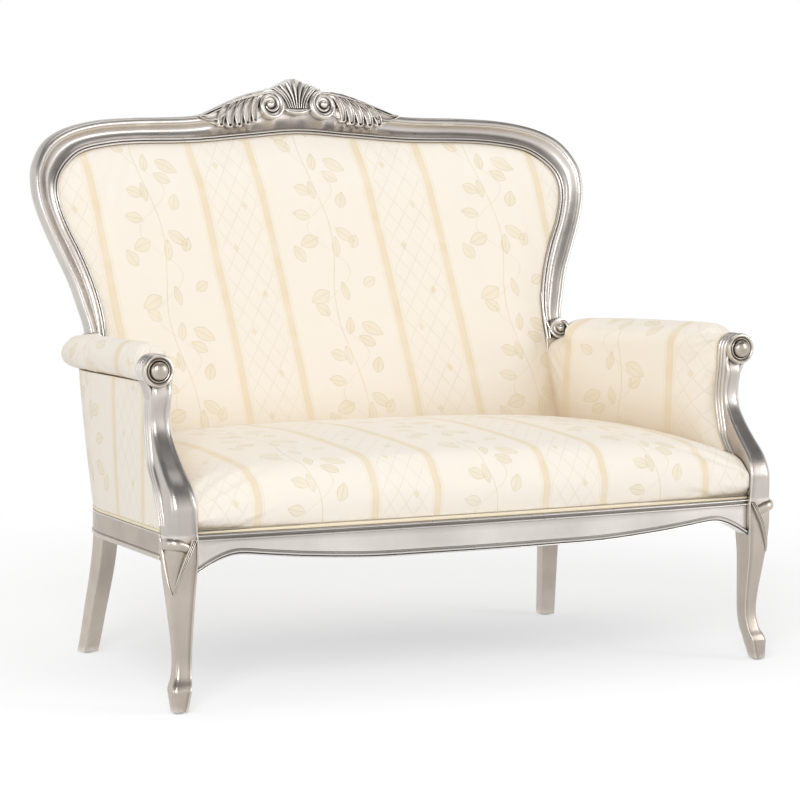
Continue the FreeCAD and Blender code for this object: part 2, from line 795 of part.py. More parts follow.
def seat_cushion():
    """The crowned seat, with a full front edge that bulges a little over the rail."""
    rows = [(-place, crown, edge) for place, crown, edge in seat_shares][:0:-1] + list(seat_shares)
    sections = []
    for place, crown, edge in rows:
        x = place * seat_half_width
        face = front_rail_face(x)
        top = seat_crown_z - crown * seat_end_fall
        rear_top = seat_rear_z - crown * seat_end_fall / 2
        front_top = top - seat_overhang * 2
        nose = cover_foot + (front_top - cover_foot) * seat_nose_share
        a = vec(x, face + seat_overhang, cover_foot)
        b = vec(x, face - seat_bulge, (cover_foot + nose) / 2)
        c = vec(x, face + seat_overhang, nose)
        d = vec(x, face + seat_shoulder, front_top - (front_top - nose) * seat_shoulder_share)
        e = vec(x, face + seat_shoulder + seat_roll, front_top)
        rear_y = back_y(x, rear_top) + pad_edge
        f = vec(x, (e.y + rear_y) / 2, top)
        g = vec(x, rear_y, rear_top)
        h = vec(x, back_y(x, cover_foot) + pad_edge, cover_foot)
        sections.append(Part.Wire([arc(a, b, c), arc(c, d, e), arc(e, f, g), line(g, h), line(h, a)]))
    return loft(sections)


def seat_foam(grow=0.0):
    """The core slab on the webbing, set in from the cushion's sides."""
    z = rail_top + 2 * strap_thickness + touch_gap - grow
    x = arm_pad_rear_x - foam_inset + grow
    front = front_rail_y + front_rail_bow + foam_inset - grow
    rear = back_y(x, cover_foot) - foam_inset + grow
    return Part.makeBox(2 * x, rear - front, foam_height + 2 * grow, vec(-x, front, z))


def seat_webbing(posts):
    """Straps that cross in two layers on top of the rails."""
    region = seat_region(piping_inset + piping_diameter, rail_top, 2 * strap_thickness)
    deep = seat_half_width * 2 / straps_deep
    straps = []
    for number in range(straps_deep):
        x = (number - (straps_deep - 1) / 2) * deep
        straps.append(Part.makeBox(strap_width, 2 * seat_half_width, strap_thickness,
                                   vec(x - strap_width / 2, -seat_half_width, rail_top)))
    span = rear_leg_y - rear_leg_width - leg_y - leg_width
    for number in range(straps_across):
        y = leg_y + leg_width + span * (number + 0.5) / straps_across
        corner = vec(-2 * seat_half_width, y - strap_width / 2, rail_top + strap_thickness)
        straps.append(Part.makeBox(4 * seat_half_width, strap_width, strap_thickness, corner))
    return Part.makeCompound([strap.common(region).cut(posts) for strap in straps])


def front_piping():
    z = rail_top + piping_diameter / 2
    half = leg_x - post_width / 2 - touch_gap
    end_y = front_rail_face(half) + piping_inset
    crown = vec(0, front_rail_y + piping_inset, z)
    path = Part.Wire([arc(vec(-half, end_y, z), crown, vec(half, end_y, z))])
    return tube_along(path, piping_diameter / 2)


def side_piping():
    edges, points = side_plan(0, -piping_inset, rail_top + piping_diameter / 2)
    return tube_along(Part.Wire(edges), piping_diameter / 2)


def tube_along(path, radius):
    start = path.Edges[0]
    place = start.FirstParameter
    ring = Part.Wire([Part.makeCircle(radius, start.valueAt(place), start.tangentAt(place))])
    return path.makePipeShell([ring], True, False)


def opening_prism(inset, foot_half, foot_z):
    """The opening of the back frame, carried down to a foot, as a long solid along Y."""
    places = [(row[0] * back_half_width, stile_foot_z + row[1] * back_rise) for row in frame_shares]
    drop = stile_foot_z - foot_z
    places += [(foot_half, foot_z + share * drop) for share in pad_side_shares]
    right = []
    for number, (x, z) in enumerate(places):
        before = places[max(number - 1, 0)]
        after = places[min(number + 1, len(places) - 1)]
        run = vec(after[0] - before[0], 0, after[1] - before[1])
        run.normalize()
        right.append(vec(x + run.z * inset, 0, z - run.x * inset) if number else vec(0, 0, z - inset))
    points = [vec(-p.x, 0, p.z) for p in right[:0:-1]] + right
    curve = Part.BSplineCurve()
    curve.interpolate(points)
    wire = Part.Wire([curve.toShape(), line(points[-1], points[0])])
    return prism(wire, back * (2 * back_half_width))


def back_slab(front_depths, thickness, grow=0.0):
    """A bowed, leaning slab from rows of height, depth at its sides and depth at its middle."""
    sections = []
    for z, side_depth, mid_depth in front_depths:
        half = back_half_width
        side_y = back_y(half, z)
        mid_y = back_y(0, z)
        sections.append(Part.Wire([
            arc(vec(-half, side_y + side_depth - grow, z), vec(0, mid_y + mid_depth - grow, z),
                vec(half, side_y + side_depth - grow, z)),
            line(vec(half, side_y + side_depth - grow, z), vec(half, side_y + thickness + grow, z)),
            arc(vec(half, side_y + thickness + grow, z), vec(0, mid_y + thickness + grow, z),
                vec(-half, side_y + thickness + grow, z)),
            line(vec(-half, side_y + thickness + grow, z), vec(-half, side_y + side_depth - grow, z)),
        ]))
    return loft(sections)


def back_pad(grow=0.0):
    crest = stile_foot_z + back_rise
    rows = []
    for share, crown in pad_crown_shares:
        z = pad_foot_z - overrun + share * (crest - pad_foot_z + 2 * overrun)
        rows.append((z, pad_edge, pad_edge - crown * pad_crown))
    opening = opening_prism(pad_inset - grow, pad_half_width + grow, pad_foot_z - grow)
    return back_slab(rows, pad_depth, grow).common(opening)


def back_webbing():
    front = pad_depth + touch_gap
    crest = stile_foot_z + back_rise
    heights = (pad_foot_z - overrun, (pad_foot_z + crest) / 2, crest + overrun)
    slab = back_slab([(z, front, front) for z in heights], front + back_web_thickness)
    return slab.common(opening_prism(pad_inset, back_panel_half_width, tack_rail_z))


def outside_back_panel():
    """The covered rear face, from the rear rail up into the frame's opening."""
    crest = stile_foot_z + back_rise
    foot = rail_top + touch_gap
    foot_depth = rear_rail_mid_y + rail_thickness - back_panel_thickness - back_y(0, foot)
    rows = [
        (foot - overrun, foot_depth),
        ((foot + stile_foot_z) / 2, (foot_depth + back_panel_depth) / 2),
        (stile_foot_z, back_panel_depth),
        ((stile_foot_z + crest) / 2, back_panel_depth),
        (crest + overrun, back_panel_depth),
    ]
    sections = []
    for z, depth in rows:
        mid_y = back_y(0, z) + depth
        sections.append(bowed_band(mid_y, back_panel_thickness, back_half_width, z))
    return loft(sections).common(opening_prism(pad_inset, back_panel_half_width, foot))


def back_tack_rail():
    mid_y = back_y(0, tack_rail_z + tack_rail_height / 2) + pad_depth + back_web_thickness + 2 * touch_gap
    lean = back * (back_lean * tack_rail_height / 2)
    low = bowed_band(mid_y, tack_rail_thickness, rear_leg_x, tack_rail_z)
    low.translate(lean * -1)
    high = bowed_band(mid_y, tack_rail_thickness, rear_leg_x, tack_rail_z + tack_rail_height)
    high.translate(lean)
    return loft([low, high], True)


# Pieces inside the seat frame

def corner_block(corner_x, corner_y, toward_x, toward_y):
    corner = vec(corner_x, corner_y, block_z)
    along_x = vec(toward_x * block_leg, 0, 0)
    along_y = vec(0, toward_y * block_leg, 0)
    return prism(polygon([corner, corner + along_x, corner + along_y]), up * block_height)


def corner_screw(corner_x, corner_y, toward_x, toward_y, grow=0.0):
    """A screw through the long face of a corner block into the leg."""
    z = block_z + block_height / 2
    away = vec(toward_x, toward_y, 0)
    away.normalize()
    head = vec(corner_x, corner_y, z) + away * (block_leg * math.sqrt(0.5))
    shank = Part.makeCylinder(screw_radius + grow, screw_length, head, away * -1)
    cap = Part.makeCylinder(screw_head_radius + grow, screw_head_height, head, away)
    return shank.fuse(cap)


def dowel(point, axis, grow=0.0):
    start = point - axis * (dowel_length / 2 + grow)
    return Part.makeCylinder(dowel_radius + grow, dowel_length + 2 * grow, start, axis)


def dowel_set(grow=0.0):
    """Dowels at every joint of one side, laid on +X."""
    row = frame_shares[shoulder_row]
    inner = frame_place(row[0], row[1])
    outer = frame_place(row[2], row[3])
    before = frame_shares[shoulder_row - 1]
    after = frame_shares[shoulder_row + 1]
    along = frame_place(after[0], after[1]) - frame_place(before[0], before[1])
    along.normalize()
    mid_rail_z = rail_top - side_rail_height / 2
    upper = side_rail_height / 4
    leg_face_x = leg_x - leg_width / 2
    leg_heel_y = leg_y + leg_width / 2
    places = []
    for share in shoulder_dowel_shares:
        point = inner + (outer - inner) * share + back * (frame_depth * shoulder_depth_share)
        places.append((point, along))
    places.append((vec(rear_leg_x + post_lean_x, rear_leg_y + post_lean_y, stile_foot_z), up))
    places.append((vec(leg_x, leg_y, rail_top), up))
    rail_mid_y = front_rail_face(leg_face_x) + rail_thickness / 2
    side_mid_x = side_x_low - rail_thickness / 2 - dowel_radius
    for z in (mid_rail_z - upper, mid_rail_z + upper):
        places.append((vec(leg_face_x, rail_mid_y, z), vec(1, 0, 0)))
        places.append((vec(side_mid_x, leg_heel_y, z), back))
        places.append((vec(rear_leg_x - rear_leg_width / 2, rear_leg_y, z), vec(1, 0, 0)))
    return [dowel(point, axis, grow) for point, axis in places]


# The sofa, put together: each piece is cut back to the faces it meets

dowel_holes = dowel_set(fit_gap)
leg = front_leg()
post = arm_post()
scroll = arm_scroll()
rear = rear_leg()
rail = front_rail().cut(both(leg))
side = side_rail().cut([leg, rear, rail])
rear_cross = rear_rail().cut(both(rear) + both(side))
crest = crest_rail()
stile = back_stile().cut([crest])

front_corner = (side_x_low - rail_thickness / 2, front_rail_y + rail_thickness, -1, 1)
rear_corner = (rear_leg_x, rear_leg_y, -1, -1)
screws = [corner_screw(*place) for place in (front_corner, rear_corner)]
screw_holes = [corner_screw(*place, fit_gap) for place in (front_corner, rear_corner)]
blocks = [
    corner_block(*front_corner).cut([leg, rail, side] + screw_holes),
    corner_block(*rear_corner).cut([rear, rear_cross, side] + screw_holes),
]

leg_finished = leg.cut(dowel_holes + screw_holes)
rear_finished = rear.cut(dowel_holes + screw_holes + [stile])
post_finished = post.cut([scroll, leg] + dowel_holes)
save_pair("front_leg", leg_finished)
save_pair("rear_leg", rear_finished)
save_pair("arm_post", post_finished)
save_pair("arm_scroll", scroll)
save("front_rail", rail.cut(dowel_holes + [mirrored(hole) for hole in dowel_holes]))
save_pair("side_rail", side.cut(dowel_holes))
save("rear_rail", rear_cross.cut(dowel_holes + [mirrored(hole) for hole in dowel_holes]))
save("crest_rail", crest.cut(dowel_holes + [mirrored(hole) for hole in dowel_holes]))
save_pair("back_stile", stile.cut(dowel_holes))

shell = crest_shell().cut([crest])
spray = crest_spray().cut([crest, shell])
save("crest_shell", shell)
save_pair("crest_spray", spray)
save_pair("knee_leaf", knee_leaf().cut([leg]))

dowels = dowel_set()
save("frame_dowels", Part.makeCompound(dowels + [mirrored(pin) for pin in dowels]))
save("corner_blocks", Part.makeCompound(blocks + [mirrored(block) for block in blocks]))
save("corner_screws", Part.makeCompound(screws + [mirrored(screw) for screw in screws]))

post_room = arm_post(touch_gap)
post_front = arm_post(touch_gap, 2 * leg_width)
rear_room = rear_leg(touch_gap)
pad_room = back_pad(touch_gap)
save("back_pad", back_pad().cut(both(rear_room)))
save_pair("arm_inside_pad", arm_pad().cut([post_front, rear_room, pad_room]))
save_pair("arm_outside_panel", arm_outside_panel().cut([post_front, rear, leg]))
save_pair("arm_roll", arm_roll().cut([post_room, rear_room, back_stile(touch_gap), pad_room, scroll]))
save("back_webbing", back_webbing().cut(both(rear_room)))
save("outside_back_panel", outside_back_panel().cut(both(rear_room)))
save("back_tack_rail", back_tack_rail().cut(both(rear)))

arm_rail = arm_timber(cover_top - arm_rail_height, arm_rail_height)
arm_tack = arm_timber(arm_tack_z, arm_tack_height)
save_pair("arm_rail", arm_rail.cut([post_front, rear, pad_room, scroll]))
save_pair("arm_tack_rail", arm_tack.cut([post_front, rear, pad_room]))

cushion_cutters = [seat_foam(touch_gap), pad_room]
cushion_cutters += both(arm_pad(touch_gap, 2 * leg_width)) + both(post_room)
save("seat_foam", seat_foam())
save("seat_cushion", seat_cushion().cut(cushion_cutters))
save("seat_webbing", seat_webbing(both(post_room) + both(rear_room)))
save("seat_piping", front_piping())
save_pair("side_piping", side_piping().cut([post_room, rear_room]))

stretcher_z = rail_top - side_rail_height + stretcher_height / 2
stretcher_front = front_rail_y + rail_thickness / 2
stretcher_rear = rear_rail_mid_y + rail_thickness / 2
stretcher = Part.makeBox(stretcher_width, stretcher_rear - stretcher_front, stretcher_height,
                         vec(-stretcher_width / 2, stretcher_front, stretcher_z))
save("seat_stretcher", stretcher.cut([front_rail(), rear_rail()]))

cover_z = rail_top - side_rail_height - cover_thickness - touch_gap
cover = seat_region(cover_inset, cover_z, cover_thickness)
cover_cutters = both(leg) + both(rear) + [front_rail()]
strip_corner = vec(-2 * leg_x, front_rail_y - leg_width + rail_thickness, 0)
front_strip = Part.makeBox(4 * leg_x, leg_width, rail_top, strip_corner)
save("dust_cover", cover.cut(cover_cutters + [front_strip]))

glides = []
front_foot = (leg_x + leg_shares[0][1] * leg_kick, leg_y - leg_shares[0][2] * leg_kick)
rear_foot = (rear_leg_x + rear_splay_x, rear_leg_y + rear_splay_y)
for x, y in (front_foot, rear_foot):
    glides += both(Part.makeCylinder(glide_radius, glide_height, vec(x, y, 0), up))
save("floor_glides", Part.makeCompound(glides))
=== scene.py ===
import math
import bmesh
import bpy
import numpy as np
from mathutils import Matrix, Vector


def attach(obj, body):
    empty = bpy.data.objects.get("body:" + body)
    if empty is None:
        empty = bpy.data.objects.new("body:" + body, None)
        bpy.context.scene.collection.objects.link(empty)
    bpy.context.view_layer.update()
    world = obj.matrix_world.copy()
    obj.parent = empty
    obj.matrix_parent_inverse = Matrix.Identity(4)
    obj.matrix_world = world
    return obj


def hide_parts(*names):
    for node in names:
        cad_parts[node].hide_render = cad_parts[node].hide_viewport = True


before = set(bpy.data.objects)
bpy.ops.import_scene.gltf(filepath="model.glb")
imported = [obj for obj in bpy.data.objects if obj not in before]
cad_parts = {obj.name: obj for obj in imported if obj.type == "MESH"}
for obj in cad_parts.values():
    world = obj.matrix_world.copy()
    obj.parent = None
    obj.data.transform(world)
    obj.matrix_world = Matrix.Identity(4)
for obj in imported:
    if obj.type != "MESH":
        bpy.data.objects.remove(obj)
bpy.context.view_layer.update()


# The room: a plain pale floor and backdrop, soft studio lamps and the photograph's viewpoint.
# The floor is white to the eye, and keeps the sofa's soft shadow.

def placed(name, data):
    """A new object of the scene."""
    thing = bpy.data.objects.new(name, data)
    bpy.context.scene.collection.objects.link(thing)
    return thing


def node_tree(holder):
    """The emptied node tree of a material or of the world."""
    holder.use_nodes = True
    holder.node_tree.nodes.clear()
    return holder.node_tree


def add_node(tree, kind, inputs=None, **settings):
    """One node; inputs are sockets to link or plain values, by name or number."""
    node = tree.nodes.new(kind)
    for key, value in settings.items():
        setattr(node, key, value)
    for key, value in (inputs or {}).items():
        if isinstance(value, bpy.types.NodeSocket):
            tree.links.new(value, node.inputs[key])
        else:
            node.inputs[key].default_value = value
    return node


def maths(tree, operation, *values, clamp=False):
    """One sum with up to three values or sockets."""
    node = add_node(tree, "ShaderNodeMath", dict(enumerate(values)), operation=operation, use_clamp=clamp)
    return node.outputs[0]


def ranged(tree, value, low, high, out_low=0.0, out_high=1.0, **settings):
    """A value between low and high, turned into a share or into another range."""
    limits = {"Value": value, "From Min": low, "From Max": high, "To Min": out_low, "To Max": out_high}
    return add_node(tree, "ShaderNodeMapRange", limits, **settings).outputs["Result"]


def mixed(tree, share, first, second):
    """The first colour with a share of the second; each is three values or a socket."""
    first, second = [end if isinstance(end, bpy.types.NodeSocket) else (*end, 1) for end in (first, second)]
    return add_node(tree, "ShaderNodeMixRGB", {0: share, 1: first, 2: second}).outputs[0]


def clouded(tree, place, scale, detail=2.0):
    """Soft noise between 0 and 1."""
    return add_node(tree, "ShaderNodeTexNoise", {"Vector": place, "Scale": scale, "Detail": detail}).outputs["Fac"]


def own_place(tree):
    """The place of a point on its own piece."""
    return add_node(tree, "ShaderNodeTexCoord").outputs["Object"]


def seen_rays(tree):
    """1 for what the camera, a mirror or a glass sees, and 0 for the light that falls on things."""
    rays = add_node(tree, "ShaderNodeLightPath").outputs
    seen = maths(tree, "MAXIMUM", rays["Is Camera Ray"], rays["Is Glossy Ray"])
    return maths(tree, "MAXIMUM", seen, rays["Is Transmission Ray"])


floor_reach = 9.0
floor_corners = [(floor_reach * x, floor_reach * y, 0) for x, y in ((-1, -1), (1, -1), (1, 1), (-1, 1))]
floor_mesh = bpy.data.meshes.new("studio_floor")
floor_mesh.from_pydata(floor_corners, [], [(0, 1, 2, 3)])
studio_floor = placed("studio_floor", floor_mesh)

floor_paint = bpy.data.materials.new("floor_paint")
tree = node_tree(floor_paint)
place = own_place(tree)
reach = add_node(tree, "ShaderNodeVectorMath", {0: place}, operation="LENGTH").outputs["Value"]
fade = ranged(tree, reach, 1.1, 2.3, interpolation_type="SMOOTHSTEP")
tint = mixed(tree, clouded(tree, place, 3.0), (0.93, 0.93, 0.935), (0.95, 0.95, 0.95))
matte = add_node(tree, "ShaderNodeBsdfDiffuse", {"Color": tint, "Roughness": 1.0})
glow = add_node(tree, "ShaderNodeEmission", {"Color": (1, 1, 1, 1), "Strength": 1.0})
share = maths(tree, "MULTIPLY", maths(tree, "MULTIPLY_ADD", fade, 0.42, 0.58), seen_rays(tree))
blend = add_node(tree, "ShaderNodeMixShader", {0: share, 1: matte.outputs[0], 2: glow.outputs[0]})
add_node(tree, "ShaderNodeOutputMaterial", {"Surface": blend.outputs[0]})
studio_floor.data.materials.append(floor_paint)

world = bpy.data.worlds.new("studio")
bpy.context.scene.world = world
tree = node_tree(world)
soft = add_node(tree, "ShaderNodeBackground", {"Color": (1, 1, 1, 1), "Strength": 0.62})
heading = add_node(tree, "ShaderNodeSeparateXYZ", {0: add_node(tree, "ShaderNodeTexCoord").outputs["Generated"]})
lift = ranged(tree, heading.outputs["Z"], 0.22, 0.82, interpolation_type="SMOOTHSTEP")
ceiling = mixed(tree, lift, (1, 1, 1), (0.18, 0.18, 0.185))
white = add_node(tree, "ShaderNodeBackground", {"Color": ceiling, "Strength": 1.0})
blend = add_node(tree, "ShaderNodeMixShader", {0: seen_rays(tree), 1: soft.outputs[0], 2: white.outputs[0]})
add_node(tree, "ShaderNodeOutputWorld", {"Surface": blend.outputs[0]})


def lamp(name, place, target, size, power):
    light = bpy.data.lights.new(name, "AREA")
    light.shape = "RECTANGLE"
    light.size, light.size_y = size
    light.energy = power
    holder = placed(name, light)
    holder.location = place
    holder.rotation_euler = (Vector(target) - Vector(place)).to_track_quat("-Z", "Y").to_euler()


lamp("key_lamp", (-2.5, -4.0, 2.7), (0, 0, 0.5), (1.8, 1.8), 81)
lamp("fill_lamp", (3.2, -3.2, 1.7), (0, 0, 0.6), (1.4, 2.2), 34)
lamp("top_lamp", (0.2, 0.6, 3.4), (0, 0, 0.5), (2.2, 1.4), 14)
lamp("side_lamp", (-4.2, -0.7, 1.4), (-0.5, 0, 0.45), (1.6, 1.6), 9)

camera_turn = math.radians(-27.191)
camera_pitch = math.radians(5.023)
camera_place = (-2.619, -5.1705, 0.995)
right = Vector((math.cos(camera_turn), math.sin(camera_turn), 0))
behind = Vector((math.sin(camera_turn) * math.cos(camera_pitch),
                 -math.cos(camera_turn) * math.cos(camera_pitch), math.sin(camera_pitch)))
above = behind.cross(right)
lens = bpy.data.cameras.new("photo_camera")
lens.sensor_width = 36
lens.lens = 137.254
camera = placed("photo_camera", lens)
camera.matrix_world = Matrix((
    (right.x, above.x, behind.x, camera_place[0]),
    (right.y, above.y, behind.y, camera_place[1]),
    (right.z, above.z, behind.z, camera_place[2]),
    (0, 0, 0, 1),
))
bpy.context.scene.camera = camera
bpy.context.scene.view_settings.view_transform = "Standard"


# The back frame: two stiles and a crest rail, moulded with two thin beads, a broad cove and a
# raised rim. Carved hardwood, dowelled at the shoulders, under burnished champagne-silver leaf.

def finished(material, colour, rough, height, strength, depth, surface=None):
    """The end of a material's nodes: colour, roughness and a fine relief on one shader."""
    tree = material.node_tree
    bump = add_node(tree, "ShaderNodeBump", {"Strength": strength, "Distance": depth, "Height": height})
    shader = add_node(tree, "ShaderNodeBsdfPrincipled", {
        "Base Color": colour, "Roughness": rough, "Normal": bump.outputs[0], **(surface or {})})
    add_node(tree, "ShaderNodeOutputMaterial", {"Surface": shader.outputs[0]})
    return material


def silver_leaf(name, dark, middle, light):
    """Aged silver leaf: lighter on convex edges as rubbed leaf and as a painted highlight, and darker in the hollows
    as glaze and as painted shade.
    """
    material = bpy.data.materials.new(name)
    tree = node_tree(material)
    place = own_place(tree)
    cloud = clouded(tree, place, 8.0, 3.0)
    leaf = add_node(tree, "ShaderNodeTexVoronoi", {"Vector": place, "Scale": 16.0, "Randomness": 0.7},
                    feature="DISTANCE_TO_EDGE").outputs["Distance"]
    curve = add_node(tree, "ShaderNodeNewGeometry").outputs["Pointiness"]
    shut = add_node(tree, "ShaderNodeAmbientOcclusion", {"Distance": 0.008}, samples=8).outputs["AO"]
    # Painted shade, with glaze: hollows and places closed in by nearby surfaces are darkened towards the dark colour.
    glaze_and_shade = maths(tree, "MAXIMUM", ranged(tree, curve, 0.485, 0.40), ranged(tree, shut, 0.78, 0.20))
    body = mixed(tree, ranged(tree, cloud, 0.35, 0.7), [0.88 * c for c in middle], [1.07 * c for c in middle])
    # Painted highlight, with rubbed leaf: convex edges are lightened towards the light colour.
    worn_and_highlit = mixed(tree, maths(tree, "MULTIPLY", ranged(tree, curve, 0.51, 0.57), 0.9), body, light)
    fleck = ranged(tree, clouded(tree, place, 60.0), 0.3, 0.75, 0.27, 0.36)
    rough = maths(tree, "MULTIPLY_ADD", glaze_and_shade, 0.25, fleck)
    laps = ranged(tree, leaf, 0.0, 0.02)
    return finished(material, mixed(tree, glaze_and_shade, worn_and_highlit, dark), rough, maths(tree, "MULTIPLY_ADD", cloud, 2.0, laps),
                    0.06, 0.0006, {"Metallic": 0.96})


# One silver leaf in lit and shaded copies: the rail and carving copies are lighter as painted light, and the leg and
# shaded copies are darker and warmer as painted shade.
frame_leaf = silver_leaf("frame_silver_leaf", (0.150, 0.126, 0.107), (0.600, 0.556, 0.517), (0.85, 0.82, 0.78))
rail_lit_leaf = silver_leaf("rail_lit_silver_leaf", (0.160, 0.136, 0.118), (0.720, 0.678, 0.638), (0.90, 0.875, 0.84))
shaded_copy_leaf = silver_leaf("shaded_copy_silver_leaf", (0.100, 0.082, 0.066), (0.450, 0.392, 0.332), (0.80, 0.76, 0.70))
leg_shaded_leaf = silver_leaf("leg_shaded_silver_leaf", (0.120, 0.098, 0.078), (0.570, 0.505, 0.440), (0.80, 0.755, 0.70))
carving_lit_leaf = silver_leaf("carving_lit_silver_leaf", (0.140, 0.115, 0.095), (0.715, 0.670, 0.620),
                           (0.95, 0.92, 0.87))


def set_down(name, mesh, replaces=()):
    """A mesh as a finished piece at the origin, which rides on the sofa."""
    piece = placed(name, mesh)
    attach(piece, "root")
    if replaces:
        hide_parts(*replaces)
    return piece


def build(name, shell, material, replaces=(), sharp=35, uv=None):
    """One finished piece from a shell's points and faces: smooth, with its faces outwards."""
    points, faces = shell
    mesh = bpy.data.meshes.new(name)
    mesh.from_pydata([tuple(map(float, p)) for p in points], [], faces)
    if uv is not None:
        layer = mesh.uv_layers.new(name="cloth")
        for loop in mesh.loops:
            layer.data[loop.index].uv = uv[loop.vertex_index]
    work = bmesh.new()
    work.from_mesh(mesh)
    bmesh.ops.recalc_face_normals(work, faces=work.faces)
    work.to_mesh(mesh)
    work.free()
    mesh.shade_smooth()
    mesh.set_sharp_from_angle(angle=math.radians(sharp))
    mesh.materials.append(material)
    return set_down(name, mesh, replaces)


def skinned(rings):
    """A closed shell, as points and faces: quads between rings of points and a cap on both ends."""
    rows, columns = len(rings), len(rings[0])
    faces = []
    for a in range(0, (rows - 1) * columns, columns):
        for column in range(columns):
            after = (column + 1) % columns
            faces.append((a + column, a + after, a + columns + after, a + columns + column))
    last = (rows - 1) * columns
    faces += [tuple(range(columns))[::-1], tuple(range(last, last + columns))]
    return [point for ring in rings for point in ring], faces


def joined(*shells):
    """Several closed shells as one list of points and faces."""
    points = []
    faces = []
    for shell_points, shell_faces in shells:
        start = len(points)
        points += list(shell_points)
        faces += [tuple(index + start for index in face) for face in shell_faces]
    return points, faces


def smoothed(rows, count, end=None):
    """Rows of values brought to a count of rows, on a smooth curve through them, up to the end given."""
    rows = np.asarray(rows, float)
    places = np.linspace(0, end or len(rows) - 1, count)
    first = np.minimum(places.astype(int), len(rows) - 2)
    t = (places - first)[:, None]
    before = rows[np.maximum(first - 1, 0)]
    a = rows[first]
    b = rows[first + 1]
    after = rows[np.minimum(first + 2, len(rows) - 1)]
    rise_a = (b - before) / 2
    rise_b = (after - a) / 2
    return ((2 * t ** 3 - 3 * t ** 2 + 1) * a + (t ** 3 - 2 * t ** 2 + t) * rise_a
            + (3 * t ** 2 - 2 * t ** 3) * b + (t ** 3 - t ** 2) * rise_b)


def both_halves(rows, signs):
    """Rows from the middle outwards, with the same rows mirrored before them."""
    rows = np.array(rows)
    return np.concatenate([rows[:0:-1] * signs, rows])


def headings(line):
    """The unit direction of a line at each of its points."""
    ahead = np.gradient(line, axis=0)
    return ahead / np.linalg.norm(ahead, axis=1)[:, None]


both_sides = (("right", 1), ("left", -1))
back_half = 0.596
back_rise = 0.483
stile_foot = 0.577
back_frame_rows = [
    (0.000, 0.859, 0.000, 1.000), (0.188, 0.843, 0.185, 0.963), (0.396, 0.824, 0.389, 0.927),
    (0.604, 0.820, 0.607, 0.919), (0.721, 0.809, 0.747, 0.907), (0.812, 0.787, 0.864, 0.874),
    (0.869, 0.745, 0.943, 0.818), (0.906, 0.694, 0.990, 0.731), (0.919, 0.640, 1.000, 0.654),
    (0.914, 0.576, 0.993, 0.578), (0.893, 0.493, 0.970, 0.487), (0.859, 0.400, 0.936, 0.383),
    (0.829, 0.300, 0.901, 0.280), (0.809, 0.203, 0.878, 0.182), (0.800, 0.110, 0.862, 0.098),
    (0.802, 0.000, 0.859, 0.000),
]
back_path = both_halves(back_frame_rows, (-1, 1, -1, 1)) * (back_half, back_rise, back_half, back_rise)
back_path[:, 1::2] += stile_foot
bow_radius = 2.38
lean = 0.285
lean_height = 0.9
lean_y = 0.3458


def back_y(x, z):
    """The leaning, bowed face of the back."""
    return lean_y + lean * (z - lean_height) - x * x / (2 * bow_radius)


def arc_points(centre, radius, start, end, count):
    """Points round an ellipse's arc, from one angle to another in degrees."""
    angles = np.radians(np.linspace(start, end, count))
    return [(centre[0] + radius[0] * math.cos(a), centre[1] + radius[1] * math.sin(a)) for a in angles]


def moulding_profile(width):
    """Run across the face and depth behind it, round the whole section."""
    bead = 0.0024
    rim = width - 0.0062
    cove = 0.0110
    section = [(0.0, 0.036), (0.0, 0.018), (0.0, 0.001)]
    section += arc_points((bead, 0.0), (bead, 0.0030), 180, 360, 9)
    section += [(0.0052, 0.0012)]
    section += arc_points((0.0080, 0.0002), (bead, 0.0034), 180, 360, 9)
    section += [(cove, 0.0016)]
    for share in np.linspace(0.08, 1, 14):
        sunk = 0.0052 * (math.sin(math.pi * min(1, share * 1.05)) - share ** 2)
        section.append((cove + share * (rim - 0.0058 - cove), 0.0016 + sunk))
    section += arc_points((rim, -0.0022), (0.0062, 0.0040), 200, 345, 10)
    section += [(width + 0.0006, 0.0035), (width + 0.0013, 0.012), (width + 0.0014, 0.020),
                (width + 0.0004, 0.030), (width - 0.002, 0.0352), (width - 0.005, 0.036), (width / 2, 0.036)]
    return section


def moulding():
    """The whole moulded run of the back frame, from one stile's foot over the crest to the other's."""
    rings = []
    for inner_x, inner_z, outer_x, outer_z in smoothed(back_path, 560):
        inner = np.array((inner_x, back_y(inner_x, inner_z), inner_z))
        outer = np.array((outer_x, back_y(outer_x, outer_z), outer_z))
        width = np.linalg.norm(outer - inner)
        across = (outer - inner) / width
        rings.append([inner + across * run + (0, depth, 0) for run, depth in moulding_profile(width)])
    return skinned(rings)


def tube(path, radii):
    """A round tube along a path; its radius may change."""
    path = np.asarray(path, float)
    ahead = headings(path)
    side = np.cross(ahead, (0.0, 1.0, 0.0))
    side /= np.maximum(np.linalg.norm(side, axis=1), 1e-6)[:, None]
    other = np.cross(ahead, side)
    angles = np.linspace(0, 2 * math.pi, 14, endpoint=False)[None, :, None]
    round_path = np.cos(angles) * side[:, None] + np.sin(angles) * other[:, None]
    return skinned(path[:, None] + np.asarray(radii)[:, None, None] * round_path)


def turned(profile, centre, sides=48):
    """A profile of depth and radius, turned about a line along Y."""
    angles = np.linspace(0, 2 * math.pi, sides, endpoint=False)
    return skinned([[(centre[0] + radius * math.cos(a), centre[1] + depth, centre[2] + radius * math.sin(a))
                     for a in angles] for depth, radius in profile])


volute_x = 0.507
volute_z = 0.597
volute_radius = 0.0218
volute_turns = 1.3


